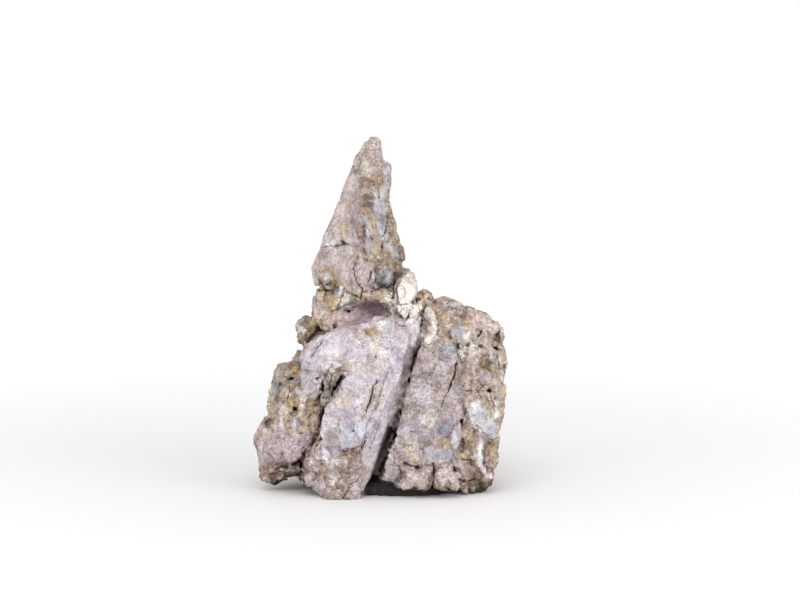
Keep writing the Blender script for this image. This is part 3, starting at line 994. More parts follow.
TONE = dict(slab=(0.995, 1.01, 1.08), strip=(1, 1.01, 1.08), limb=(1, 1.01, 1.06), foot=(1, 1.01, 1.13),
            toe=(0.985, 1.03, 1.15), toe_dark=(1.02, 1.04, 1.06), block_right=(1, 1, 1.0), lobe_pink=(1.02, 1.01, 1.11),
            block=(0.97, 0.98, 1.05), hollow=(1, 0.97, 1.06), shoulder=(0.99, 0.98, 0.99), broken=(0.99, 0.97, 0.98))

# look: ground colours, the fragments in it and their shares, filling between them and its share, grit
BRECCIA = [("blue", 2), ("blue_pale", 1), ("ochre", 2), ("beige", 2.4), ("beige_grey", 2), ("brown_light", 1.4),
           ("grey", 1.4), ("mauve", 2), ("pink", 1), ("ochre_brown", 0.9), ("grey_dark", 0.5), ("cream", 1)]
MAUVE = [("mauve", 4), ("mauve_light", 3), ("mauve_dark", 1.6), ("pink", 1.5), ("lilac", 1)]
LILAC = [("lilac", 4), ("lilac_light", 3), ("mauve_light", 2), ("lilac_deep", 1), ("pink_white", 1), ("cream", 0.5)]
CRUST = [("crust", 3), ("crust_dark", 2.2), ("beige", 2), ("beige_grey", 2), ("brown_light", 2), ("ochre", 1),
         ("cream", 1), ("mauve", 1.4), ("brown", 0.7)]
BLOCK = [("lilac", 3), ("mauve", 3), ("mauve_light", 2), ("lilac_deep", 1), ("beige_grey", 1.6), ("pink", 1),
         ("beige", 0.8)]
KINDS = dict(
    tip=([("beige", 2), ("ochre_pale", 1), ("pink", 1.5), ("mauve", 3), ("beige_grey", 1)], "ochre_brown", 0.45, 0.75),
    mauve=(MAUVE, "mauve_dark", 0.30, 0.55),
    broken=([("blue", 3), ("blue_pale", 2), ("ochre", 2.2), ("beige", 2), ("grey", 1.4), ("ochre_pale", 1),
             ("grey_dark", 0.8), ("brown_light", 1.4), ("ochre_strong", 0.8)], "ochre_brown", 0.6, 0.7),
    shoulder=([("beige_grey", 2), ("grey", 2), ("beige", 1.5), ("brown_light", 1.5), ("blue", 1)], "brown", 0.5, 0.8),
    back=(BRECCIA, "ochre_brown", 0.5, 0.9),
    neck=([("beige", 2.5), ("ochre", 2.4), ("beige_grey", 2), ("grey_green", 1.6), ("blue_pale", 1), ("ochre_strong", 1),
           ("brown_light", 1), ("cream", 1)], "brown", 0.6, 0.9),
    lobe=([("blue", 1.8), ("beige", 2.2), ("ochre", 2.2), ("brown_light", 1.6), ("grey", 1.4), ("ochre_brown", 1.2),
           ("beige_grey", 1.6), ("cream", 0.8), ("mauve", 0.8)], "brown", 0.55, 1.0),
    knob=([("beige_grey", 2), ("grey_green", 1.6), ("brown", 1.4), ("brown_light", 2), ("grey", 1.5)], "brown_dark", 0.6,
          1.0),
    calcite=([("white", 3), ("cream", 2), ("pink_white", 2), ("beige", 0.8)], "beige", 0.5, 0.45),
    crust=([("brown_light", 2), ("beige", 2), ("beige_grey", 2), ("brown", 1.5), ("crust_dark", 2)], "brown", 0.6, 1.1),
    slab=(LILAC, "mauve_dark", 0.22, 0.55), strip=([("lilac", 3), ("mauve_light", 2), ("mauve", 2), ("lilac_deep", 1)],
                                                   "mauve_dark", 0.15, 0.4),
    limb=([("lilac", 2), ("lilac_deep", 2), ("grey", 2), ("mauve", 1), ("beige_grey", 1)], "brown_mauve", 0.4, 0.8),
    tooth=([("grey", 2), ("brown_light", 2), ("mauve_dark", 1), ("beige_grey", 1)], "brown", 0.6, 1.0),
    vein=([("blue_pale", 3), ("blue", 2), ("lilac", 2), ("blue_white", 1), ("mauve", 1)], "mauve_dark", 0.3, 0.5),
    foot=([("crust", 3), ("crust_dark", 2), ("beige_grey", 2), ("mauve", 2.4), ("mauve_dark", 1.4), ("brown_light", 1.2),
           ("cream", 0.6), ("ochre", 0.5)], "brown", 0.5, 1.1),
    lobe_pink=([("mauve", 3), ("mauve_light", 2), ("pink", 2), ("mauve_dark", 1.4), ("beige_grey", 0.6)], "brown_mauve",
               0.4, 0.9),
    lobe_foot=([("brown_mauve", 3), ("brown_light", 2), ("beige_grey", 2), ("mauve_dark", 1.6), ("ochre", 0.8)],
               "brown_dark", 0.55, 1.1),
    block=(BLOCK, "brown_mauve", 0.4, 0.85),
    block_right=([("beige_grey", 2), ("blue_pale", 1.6), ("ochre", 1.6), ("brown_light", 1.8), ("mauve", 1.6),
                  ("cream", 1), ("grey", 1.4), ("pink", 1), ("beige", 2)], "brown", 0.55, 1.0),
    block_top=([("mauve", 2), ("pink", 2), ("brown_mauve", 2), ("grey", 1.8), ("beige_grey", 1.6), ("ochre", 0.8)],
               "brown", 0.5, 1.0),
    toe=([("crust", 2.5), ("pink", 1.5), ("beige", 2), ("brown_light", 1.6), ("mauve", 1.6), ("cream", 1),
          ("ochre", 0.8)], "brown", 0.5, 1.1),
    toe_dark=([("brown", 2), ("brown_light", 2), ("ochre_brown", 1.6), ("beige_grey", 1), ("brown_mauve", 2)],
              "brown_dark", 0.6, 1.1),
    back_slab=(LILAC, "mauve_dark", 0.3, 0.7), boss=([("mauve", 3), ("lilac", 2), ("mauve_light", 1)], "mauve_dark", 0.2,
                                                     0.45),
    nodule=([("ochre", 2), ("beige", 1), ("mauve", 2), ("brown_light", 1)], "ochre_brown", 0.4, 0.7),
    hollow=([("mauve", 3), ("mauve_dark", 2)], "mauve_dark", 0.2, 0.35),
    dark=([("brown", 2), ("brown_dark", 2), ("brown_mauve", 1)], "brown_dark", 0.6, 1.0),
    brown=([("brown", 2), ("brown_mauve", 2), ("crust_dark", 1)], "brown_dark", 0.5, 1.0),
    under=([("brown_dark", 2), ("black", 3)], "black", 0.5, 1.0),
    wall=([("brown_mauve", 2), ("brown_light", 1.4), ("mauve_dark", 1.6), ("grey", 1)], "brown", 0.4, 0.8))

# larger areas of one colour: (colour, outline on the sheet)
FIELDS = [
    ("blue_pale", [(466, 414), (469, 406), (474, 402), (481, 405), (487, 412), (493, 420), (498, 428), (497, 436),
                   (493, 441), (488, 437), (484, 430), (478, 425), (471, 424), (466, 420)]),
    ("brown_light", [(462, 426), (470, 425), (477, 432), (476, 450), (476, 466), (470, 475), (462, 470), (461, 450)]),
    ("blue_white", [(478, 427), (486, 430), (486, 438), (484, 446), (482, 454), (482, 461), (486, 469), (493, 478),
                    (489, 480), (483, 472), (478, 464), (477, 454), (478, 444), (480, 435)]),
    ("ochre_brown", [(487, 447), (492, 441), (499, 446), (499, 458), (494, 464), (488, 460), (485, 453)]),
    ("mauve", [(482, 463), (489, 462), (494, 468), (492, 476), (488, 479), (483, 471)]),
    ("mauve_dark", [(437, 417), (443, 414), (453, 416), (454, 422), (446, 422), (438, 424)]),
    ("blue_deep", [(437, 427), (442, 424), (446, 426), (452, 423), (453, 429), (450, 435), (443, 436), (438, 433)]),
    ("blue_pale", [(444, 427), (450, 425), (451, 429), (447, 431)]),
    ("cream", [(419, 410), (426, 406), (436, 408), (437, 418), (432, 427), (423, 426), (419, 419)]),
    ("ochre", [(439, 439), (444, 436), (452, 438), (451, 446), (444, 449), (438, 445)]),
    ("ochre_pale", [(402, 440), (407, 437), (411, 442), (414, 450), (421, 455), (421, 463), (415, 466), (410, 458), (405, 450)]),
    ("blue", [(429, 455), (434, 450), (441, 452), (448, 449), (455, 453), (453, 459), (446, 458), (441, 463), (434, 460)]),
    ("lilac_light", [(387, 463), (389, 450), (393, 438), (398, 428), (400, 434), (396, 448), (393, 462), (388, 474)]),
    ("mauve_dark", [(394, 452), (401, 450), (403, 458), (400, 465), (394, 463)]),
    ("blue", [(446, 329), (455, 327), (464, 331), (466, 338), (460, 343), (457, 352), (452, 346), (449, 338)]),
    ("cream", [(464, 334), (470, 333), (472, 340), (466, 343), (463, 340)]),
    ("pink", [(467, 316), (478, 313), (490, 319), (499, 330), (500, 340), (490, 337), (480, 329), (470, 326)]),
    ("blue_white", [(441, 344), (449, 342), (453, 347), (450, 353), (443, 352)]),
    ("lilac", [(301, 362), (312, 358), (327, 368), (325, 378), (321, 390), (314, 396), (307, 390), (303, 376)]),
    ("grey", [(316, 392), (322, 392), (326, 398), (322, 408), (314, 406), (313, 398)]),
    ("ochre_brown", [(306, 396), (314, 400), (319, 410), (318, 424), (312, 430), (306, 420), (304, 406)]),
    ("lilac_deep", [(305, 365), (310, 352), (319, 339), (323, 334), (325, 338), (317, 350), (311, 361), (307, 368)]),
    ("beige", [(330, 325), (344, 330), (362, 328), (372, 326), (378, 334), (364, 338), (346, 337), (333, 333)]),
    ("ochre_strong", [(366, 331), (371, 327), (379, 327), (381, 335), (373, 338), (367, 336)]),
    ("green_white", [(379, 321), (386, 319), (390, 325), (387, 334), (383, 336), (380, 329)]),
    ("beige_grey", [(372, 389), (380, 386), (382, 398), (378, 412), (372, 418), (369, 406)]),
    ("mauve_dark", [(326, 430), (333, 427), (337, 436), (335, 446), (328, 448), (324, 440)]),
    ("brown", [(338, 452), (349, 451), (360, 450), (362, 456), (352, 459), (341, 457)]),
    ("brown_light", [(464, 385), (472, 386), (480, 389), (480, 397), (470, 400), (464, 396)]),
    ("brown", [(410, 347), (417, 346), (416, 356), (412, 367), (408, 376), (402, 376), (404, 362)]),
    ("mauve_dark", [(440, 301), (448, 300), (456, 303), (463, 306), (464, 313), (458, 316), (450, 314), (443, 310)]),
    ("grey", [(448, 302), (453, 301), (456, 306), (452, 310), (447, 307)]),
    ("lilac", [(458, 305), (464, 307), (465, 313), (460, 314)]),
    ("ochre", [(429, 303), (437, 304), (443, 311), (450, 317), (449, 323), (441, 320), (434, 317), (430, 311)]),
    ("beige", [(436, 322), (446, 323), (452, 327), (446, 331), (440, 336), (436, 331)]),
    ("brown_mauve", [(460, 314), (467, 313), (470, 319), (469, 326), (463, 325)]),
    ("ochre_pale", [(436, 336), (444, 333), (452, 337), (455, 343), (449, 344), (441, 343), (436, 345)]),
    ("beige_grey", [(477, 339), (484, 335), (493, 338), (497, 346), (492, 353), (483, 354), (477, 348)]),
    ("brown", [(480, 356), (488, 355), (493, 361), (492, 369), (485, 371), (479, 366)]),
    ("ochre", [(481, 359), (486, 358), (489, 363), (486, 368), (482, 366)]),
    ("mauve_dark", [(484, 370), (491, 369), (496, 374), (494, 380), (487, 379)]),
    ("blue_white", [(468, 347), (474, 346), (477, 352), (475, 358), (469, 356)]),
    ("beige", [(502, 352), (507, 356), (507, 366), (505, 380), (501, 380), (501, 366)]),
    ("pink", [(459, 373), (466, 372), (469, 380), (466, 388), (460, 386)]),
    ("beige", [(417, 291), (425, 289), (431, 296), (430, 302), (422, 302), (417, 299)]),
    ("cream", [(384, 290), (391, 288), (397, 292), (397, 302), (391, 306), (386, 300)]),
    ("ochre_brown", [(423, 318), (429, 319), (431.5, 325), (429, 331), (424.5, 331), (422.5, 324)]),
    ("brown", [(314, 402), (321, 404), (324.5, 409), (321, 420), (318, 432), (314, 440), (311, 437), (313.4, 424),
               (313, 412)]),
    ("pink_white", [(324, 414), (327, 413.6), (325.6, 424), (323.6, 434), (320, 440), (320.6, 430), (322.4, 420)]),
    # peak
    ("beige_grey", [(362, 148), (368, 141), (373, 144), (374, 154), (371, 160), (363, 160), (359, 156)]),
    ("mauve", [(374, 139), (379, 143), (382, 152), (382, 161), (377, 162), (374, 152)]),
    ("cream", [(361, 163), (368, 160), (372, 168), (370, 178), (364, 178), (360, 171)]),
    ("ochre_strong", [(374, 175), (379, 174), (383, 179), (381, 184), (376, 183), (373, 179)]),
    ("blue_pale", [(384, 166), (389, 165), (391, 174), (390, 188), (386, 190), (384, 178)]),
    ("beige", [(362, 186), (368, 186), (370, 193), (366, 197), (362, 194)]),
    ("green_white", [(379, 187), (384, 185), (387, 192), (385, 200), (381, 202), (378, 196)]),
    ("blue_white", [(373.5, 186), (378, 186), (379, 198), (378, 211), (375, 212), (373, 202)]),
    ("blue_pale", [(379, 202), (384, 199), (387, 206), (388, 214), (384, 217), (379, 214), (377, 208)]),
    ("grey_dark", [(363, 196), (368, 192.5), (373, 195), (374, 204), (371, 210), (364, 208)]),
    ("ochre", [(361, 210), (366, 208), (370, 212), (368, 217), (362, 217)]),
    ("blue", [(361, 217), (367, 215), (369, 220), (366, 225), (361, 224)]),
    ("blue_deep", [(375, 215), (381, 214), (385, 217), (383, 222), (377, 222)]),
    ("blue_pale", [(378, 222), (386, 221), (388, 228), (387, 236), (383, 240), (379, 235), (377, 228)]),
    ("blue_white", [(380, 232), (386, 230), (387, 236), (383, 240), (379, 238)]),
    ("ochre_pale", [(369, 217), (374, 216), (377, 222), (376, 232), (373, 238), (370, 230), (368, 223)]),
    ("blue_pale", [(364, 225), (369, 224), (372, 231), (371, 238), (366, 236), (364, 231)]),
    ("ochre_brown", [(361, 226), (364, 226), (366, 236), (365, 245), (361, 243)]),
    ("ochre_brown", [(388, 214), (393, 214), (394, 224), (390, 226), (388, 220)]),
    ("ochre", [(388, 226), (393, 225), (396, 233), (395, 240), (390, 238)]),
    ("blue_pale", [(365, 241), (371, 240), (373, 245), (369, 249), (365, 247)]),
    ("ochre_pale", [(372, 240), (380, 241), (384, 247), (382, 256), (376, 259), (371, 252)]),
    ("blue_white", [(384, 243), (390, 244), (396, 250), (400, 257), (396, 259), (390, 254), (385, 249)]),
    ("mauve_deep", [(398, 245), (402, 249), (404, 257), (400, 258), (397, 251)]),
    ("ochre_strong", [(380, 252), (387, 251), (391, 256), (388, 262), (382, 260)]),
    ("ochre_pale", [(366, 255), (374, 258), (381, 263), (380, 268), (372, 267), (366, 263)]),
    ("ochre", [(391, 259), (398, 261), (401, 268), (396, 272), (391, 266)]),
    ("yellow_green", [(388, 265), (394, 267), (398, 272), (392, 271), (387, 268)]),
    ("pink_white", [(377, 267), (383, 266), (385, 271), (380, 274), (376, 271)]),
    ("blue_deep", [(375, 278), (380, 274), (386, 274), (387, 282), (384, 288), (377, 288), (374, 284)]),
    ("blue_pale", [(386, 271), (393, 269), (395, 276), (393, 284), (388, 287), (386, 280)]),
    ("ochre", [(394, 273), (399, 272), (400, 279), (396, 284), (393, 280)]),
    ("mauve_dark", [(351, 191), (356, 190), (360, 196), (361, 206), (359, 216), (355, 212), (353, 202)]),
    ("mauve_dark", [(354, 222), (359, 222), (359, 234), (356, 236), (353, 230)]),
    ("mauve_light", [(333, 229), (340, 227), (346, 230), (346, 241), (338, 242), (332, 240)]),
    ("mauve_dark", [(319, 254), (324, 252), (326, 258), (322, 262), (318, 260)]),
    ("ochre", [(321, 270), (328, 268), (336, 272), (342, 280), (340, 288), (332, 286), (326, 284), (320, 282)]),
    ("blue_pale", [(325, 273), (330, 272), (333, 276), (331, 281), (327, 282), (324, 278)]),
    # neck
    ("beige", [(315, 292), (325, 291), (326, 303), (319, 306), (314, 302)]),
    ("pink", [(314, 305), (322, 305), (325, 313), (321, 320), (315, 318)]),
    ("ochre_strong", [(328, 292), (334, 292), (335, 304), (334, 316), (331, 322), (328, 312), (327, 302)]),
    ("blue_pale", [(334, 288), (342, 287), (344, 293), (339, 298), (335, 296)]),
    ("green_white", [(339, 296), (346, 293), (352, 298), (353, 308), (347, 307), (341, 310), (338, 304)]),
    ("ochre", [(372, 291), (378, 290), (383, 300), (380, 306), (375, 301)]),
    ("mauve_deep", [(364, 305), (370, 302), (378, 303), (384, 308), (382, 315), (374, 317.4), (367, 315), (363, 310)]),
    # lobe and foot
    ("beige_grey", [(280, 364), (288, 363), (291, 370), (285, 374), (279, 371)]),
    ("ochre_strong", [(289, 397), (296, 398), (298, 405), (294, 410), (288, 407)]),
    ("white", [(304, 389), (307, 391), (305.5, 400), (303.5, 410), (301, 415.5), (299, 414), (301.5, 404), (302, 395)]),
    ("blue_white", [(281, 403), (284, 408), (283, 418), (282.5, 429), (279.5, 430), (279, 418), (279.5, 408)]),
    ("blue", [(292, 421), (297, 420), (299, 426), (296, 430), (291, 428)]),
    ("yellow_cream", [(262, 433), (267, 429), (272, 432), (271, 438), (265, 442), (261, 441)]),
    ("grey_dark", [(322, 388), (329, 386), (333, 392), (331, 400), (325, 404), (320, 398)]),
    ("pink_white", [(331, 458), (336, 456), (339, 462), (337, 468), (332, 467)]),
    ("mauve", [(346, 498), (350, 487), (356, 482), (366, 484), (366, 492), (360, 499)]),
    ("grey_green", [(352, 467), (358, 465), (362, 470), (357, 474), (352, 472)]),
    ("beige_grey", [(311, 481), (318, 479), (323, 485), (320, 492), (313, 489)]),
]

# places with a colour of their own: (u, v, half width, half height, turn in degrees, colour)
PATCHES = [
    # peak
    (363, 159, 3, 1.5, 0, "grey_green"), 
    (371, 181, 3, 2, 0, "ochre_brown"),
    (365, 184, 4, 1.5, 0, "brown_dark"),
    (355, 195, 5, 4, 0, "mauve_dark"), 
    
    
    
    (343, 228, 4, 8, 12, "ochre_pale"), (325, 256, 5, 4, 0, "mauve_dark"),
    (346, 262, 7, 6, 0, "beige"), (326, 275.5, 1.6, 1.6, 0, "white"), (333, 274, 2.6, 4, 0, "ochre_strong"),
    (334, 282, 4, 3, 0, "ochre"), (339, 285, 4, 2.6, 0, "ochre"),
    (321, 284, 4, 3, 0, "brown_light"), (364, 277, 7, 9, 0, "mauve"), 
    (352, 180, 3, 8, 15, "mauve_light"), (341, 212, 5, 8, 18, "mauve_light"), (332, 245, 6, 5, 10, "pink_white"),
    (350, 240, 6, 6, 0, "mauve_light"), (345, 275, 8, 5, 0, "mauve_light"), (354, 222, 3, 12, 6, "mauve_dark"),
    (369, 143, 4, 5, 20, "beige"), (358, 168, 3, 6, 16, "mauve_dark"), 
    
    # neck
    (355, 298, 5, 4, 0, "grey_green"),
    (368, 300, 7, 4, 0, "brown_mauve"), (342, 319, 14, 8, -10, "mauve"),
    (352, 328, 10, 4, -20, "mauve_dark"), (384, 316, 4, 4, 0, "brown_light"),
    (389, 300, 5, 7, 0, "cream"), (385, 308, 3, 3, 0, "brown"), (395, 312, 4, 6, 0, "beige"),
    (358, 305, 8, 2.4, 0, "brown_mauve"), (326, 321, 4, 4, 0, "beige"), (313, 300, 3, 5, 0, "brown_light"),
    # knob
    (305, 331, 4, 4, 0, "pink_white"), (304, 323, 5, 4, 0, "grey_dark"), (307, 339, 4, 3, 0, "brown"),
    (312, 331, 3, 8, 0, "ochre_brown"), (298, 331, 2.4, 5, 0, "pink"), (303, 346, 3, 4, 0, "brown"),
    # slab
    (334, 351, 10, 9, 0, "pink_white"), (331, 365, 12, 5, 0, "pink_white"), (322, 350, 5, 6, 20, "lilac_light"),
    (309, 356, 7, 8, 10, "lilac"), (357, 345, 8, 8, 0, "lilac"), (379, 347, 10, 10, 0, "cream"),
    (378, 331, 3, 3, 0, "ochre_pale"), (366, 332, 2, 2, 0, "brown"),
    (393, 343, 8, 18, -12, "lilac"), (386, 360, 2.4, 2.4, 0, "white"), (372, 363, 8, 8, 0, "beige_grey"),
    (350, 366, 7, 6, 0, "beige"), (356, 386, 12, 11, 0, "lilac"), (376, 397, 4, 11, -15, "beige"),
    (335, 381, 3, 7, -20, "grey"), (344, 401, 6, 5, 0, "ochre_pale"),
    (346, 415, 11, 8, 0, "lilac_deep"), (356, 419, 5, 4, 0, "cream"), (350, 434, 10, 12, 0, "blue_pale"),
    (362, 428, 4, 8, -6, "blue_white"), (349, 428, 5, 4, 0, "blue"), (333, 437, 5, 7, 0, "grey"),
    (323, 426, 2.4, 8, -10, "white"), (350, 455, 10, 2.6, 0, "brown"), (376, 440, 6, 18, -18, "lilac"),
    (345, 333, 12, 4, -6, "mauve_light"), (397, 330, 5, 6, -20, "mauve"), (388, 395, 5, 14, -20, "mauve_light"),
    (366, 396, 3, 8, -15, "lilac_light"), (347, 444, 8, 4, 0, "blue"), (358, 440, 4, 4, 0, "lilac_deep"),
    (370, 378, 6, 4, 0, "lilac"), (341, 391, 4, 5, 0, "lilac_deep"), (400, 358, 4, 9, -20, "lilac_deep"),
    # foot
    (325, 457, 4, 8, 0, "pink_white"), (334, 462, 3.6, 5, 0, "cream"), (312, 463, 6, 5, 0, "beige_grey"),
    (345, 465, 6, 4, 0, "brown_light"), (358, 468, 5, 5, 0, "grey"), (320, 485, 6, 5, 0, "mauve"),
    (335, 479, 3, 3, 0, "cream"), (340, 481, 2.4, 2, 0, "white"), 
    (330, 495, 6, 4, 0, "grey"), (309, 478, 5, 6, 0, "mauve"), (365, 478, 4, 6, -20, "mauve"),
    (343, 492, 4, 5, 0, "brown_light"), (318, 474, 5, 3, 0, "crust_dark"),
    # lobe
    (294, 372, 5, 5, 0, "ochre_strong"), (296, 385, 4, 6, 0, "ochre_brown"), (283, 374, 5, 5, 0, "beige_grey"),
    (277, 390, 6, 8, 0, "blue"), (283, 382, 4, 4, 0, "grey_green"), (299, 391, 3, 6, 0, "blue_pale"),
    (310, 405, 4, 6, 0, "ochre_brown"),
    (285, 410, 5, 5, 0, "beige"), (289, 425, 4, 4, 0, "ochre"),
    (305, 425, 4, 5, 0, "brown_light"), (313, 420, 5, 5, 0, "brown_light"),
    (270, 421, 5, 4, 0, "brown_mauve"), (286, 446, 15, 10, 10, "mauve"),
    (268, 446, 5, 5, 0, "beige_grey"), (263, 464, 4, 5, 0, "mauve_dark"), (283, 466, 7, 2.6, 0, "brown_dark"),
    (280, 475, 8, 1.8, 0, "ochre_brown"), (297, 463, 5, 4, 0, "brown_dark"), (268, 478, 6, 5, 0, "brown_mauve"),
    (292, 452, 9, 5, 0, "mauve_light"), (276, 401, 4, 6, 0, "crust_dark"), (319, 405, 4, 4, 0, "brown_light"),
    (305, 441, 6, 4, 0, "mauve_dark"), (290, 394, 3, 3, 0, "cream"),
    (271, 410, 4, 4, 0, "brown_light"), (305, 410, 3, 4, 0, "grey_dark"),
    # block on the right
    (443, 305, 8, 5, 0, "grey"), (457, 304, 5, 3, 0, "lilac"), (437, 315, 4, 5, 0, "ochre_brown"),
    (447, 323, 5, 5, 0, "beige"), (454, 321, 3.4, 3, 0, "mauve_deep"), (468, 322, 4, 5, 0, "ochre"),
    (476, 322, 2.4, 2.4, 0, "mauve_deep"), (486, 322, 5, 4, 0, "mauve_light"), (447, 330, 4, 4, 0, "yellow_cream"),
    (443, 338, 4, 4, 0, "ochre"), (459, 333, 7, 5, 0, "blue"), (450, 348, 5, 4, 0, "blue_white"),
    (442, 347, 1.2, 3, 0, "blue_deep"), (454, 341, 5, 2, 0, "ochre_strong"), (459, 346, 3, 6, 0, "blue_pale"),
    (466, 338, 4, 4, 0, "cream"), (472, 352, 4, 6, 0, "blue_white"), (485, 341, 9, 5, 0, "beige_grey"),
    (497, 345, 5, 5, 0, "ochre_pale"), 
    (478, 366, 3, 4, 0, "grey_green"), (486, 376, 5, 4, 0, "blue"), (471, 362, 3.4, 12, 0, "beige_grey"),
    (430, 360, 10, 9, 0, "mauve"), (440, 369, 5, 5, 0, "ochre_pale"), (450, 371, 4, 5, 0, "ochre"),
    (424, 394, 12, 12, 0, "lilac_light"), (450, 395, 5, 8, -16, "mauve_light"), 
    (447, 415, 6, 5, 0, "mauve"), (452, 421, 4, 4, 0, "blue"),
    (406, 430, 6, 9, -16, "lilac"), (425, 440, 5, 5, 0, "grey"), (404, 443, 5, 4, 0, "ochre_pale"),
    (444, 442, 5, 4, 0, "ochre"), 
    (442, 463, 5, 4, 0, "cream"), (455, 440, 2.8, 12, 0, "blue_white"),
    (470, 447, 5, 6, 0, "brown"), (468, 434, 4, 4, 0, "ochre"), (463, 455, 5, 5, 0, "ochre"), (475, 405, 6, 6, 0, "blue_white"),
    (474, 405, 4, 3, 0, "blue_white"), (492, 432, 4, 6, 0, "blue"), (481, 415, 4, 4, 0, "blue"),
    (494, 450, 3, 4, 0, "ochre"), (472, 460, 5, 5, 0, "brown"),
    (475, 478, 9, 8, 0, "brown"), (447, 475, 9, 10, 0, "pink"), (413, 478, 8, 7, 0, "pink"),
    (388, 472, 9, 7, 0, "mauve"), (425, 470, 5, 6, 0, "pink"), (400, 485, 6, 5, 0, "mauve"),
    (440, 352, 6, 6, 0, "grey"), (420, 375, 7, 6, 0, "mauve_dark"), (437, 400, 5, 8, -12, "pink"),
    (459, 378, 4, 8, 0, "brown_light"), (474, 384, 6, 5, 0, "brown"), (495, 392, 5, 8, 0, "beige_grey"),
    (494, 372, 5, 6, 0, "brown_light"), (461, 405, 4, 6, 0, "brown"), (467, 425, 4, 7, 0, "brown_light"),
    (500, 362, 4, 6, 0, "beige_grey"), (415, 412, 5, 6, 0, "mauve_dark"), (402, 462, 5, 5, 0, "crust_dark"),
    (432, 478, 4, 6, 0, "crust_dark"), (460, 470, 4, 5, 0, "grey"), (436, 388, 4, 4, 0, "brown_light"),
    # crevice vein
    (416, 336, 3, 12, -8, "blue_pale"), (409, 362, 3, 12, -14, "blue"), (400, 392, 3, 14, -16, "lilac_light"),
    (394, 418, 3, 12, -16, "blue_pale"), (386, 440, 3, 6, -16, "grey"),
]


def sampled(field, p):
    """The field at any points, read off the grid."""
    q = (p - LOW) / F32(CELL)
    i = np.clip(np.floor(q).astype(np.int32), 0, np.array(field.shape) - 2)
    f = np.clip(q - i, 0, 1).astype(F32)
    flat, sy, sz = field.reshape(-1), field.shape[1] * field.shape[2], field.shape[2]
    k = i[:, 0] * sy + i[:, 1] * sz + i[:, 2]
    value = np.zeros(len(p), F32)
    for a in (0, 1):
        for b in (0, 1):
            for c in (0, 1):
                w = (f[:, 0] if a else 1 - f[:, 0]) * (f[:, 1] if b else 1 - f[:, 1]) * (f[:, 2] if c else 1 - f[:, 2])
                value += w * flat[k + a * sy + b * sz + c]
    return value


def from_shares(shares, dice):
    """Picks a colour from (name, share) pairs by a number from 0 to 1."""
    total = np.cumsum([s for _, s in shares])
    table = np.stack([linear(name) for name, _ in shares])
    return table[np.clip(np.searchsorted(total / total[-1], dice), 0, len(shares) - 1)]


def mix(a, b, t):
    return a + (b - a) * np.asarray(t, F32).reshape(-1, 1)


normals = np.empty(len(thin.vertices) * 3, F32)
thin.vertices.foreach_get("normal", normals)
normals = normals.reshape(-1, 3)
p = co.copy()
wander = np.stack([swell(p, 7, 21), swell(p, 7, 22), swell(p, 7, 23)], axis=1) * F32(1.2)
wander += np.stack([swell(p, 2.4, 24), swell(p, 2.4, 25), swell(p, 2.4, 26)], axis=1) * F32(0.7)
warp = np.stack([swell(p, 6, 4), swell(p, 6, 5), swell(p, 6, 6)], axis=1)
lean, t, gap, cell, _, small_gap, small, small_way = cells(p, warp)
# most colour edges follow the small fragments
snap = np.stack([small_way[:, 0] * np.cos(t) + small_way[:, 2] * np.sin(t), small_way[:, 1],
                 small_way[:, 2] * np.cos(t) - small_way[:, 0] * np.sin(t)], axis=1) * F32(0.7)
_, look = body(p + wander + snap, margin=14)
pick, pick2 = DICE[cell][:, 0], DICE[cell][:, 1]
filling = 1 - step(0.03, 0.20, gap + 0.12 * swell(p, 1.9, 27))
fine = DICE[small]
zone1, zone2, zone, _ = fragments((p + wander * 2) * F32(1 / 30) + 5)
zone = DICE[zone][:, 0]

tint = np.zeros((len(p), 3), F32)
grit = np.zeros(len(p), F32)
for name, (shares, between_colour, amount, gritty) in KINDS.items():
    k = np.flatnonzero(look == LOOK[name])
    if not len(k):
        continue
    if name == "back":
        for low, high, family in ((0, 0.24, MAUVE), (0.24, 0.42, LILAC), (0.42, 0.62, CRUST), (0.62, 1.01, BRECCIA)):
            j = k[(zone[k] >= low) & (zone[k] < high)]
            tint[j] = from_shares(family, pick[j])
            # a little of the next fragment's colour on the small grains
            other = fine[j, 1] < 0.35
            tint[j[other]] = mix(tint[j[other]], from_shares(family, fine[j[other], 0]), 0.6)
    else:
        tint[k] = from_shares(shares, pick[k])
        other = fine[k, 1] < 0.35
        tint[k[other]] = mix(tint[k[other]], from_shares(shares, fine[k[other], 0]), 0.6)
    tint[k] = mix(tint[k], linear(between_colour), filling[k] * amount)
    grit[k] = gritty
gain = np.array([GAIN.get(name, 1.0) for name in LOOKS], F32)[look]
tint *= (1 + (fine[:, 2:3] - 0.5) * 0.22 + swell(p, 4, 28)[:, None] * 0.10)
# rusty staining
rust = step(0.05, 0.7, swell(p, 13, 29) + 0.5 * swell(p, 4, 30)) * np.clip(RELIEF_OF[look], 0, 1) * 0.35
tint = mix(tint, linear("ochre"), rust)

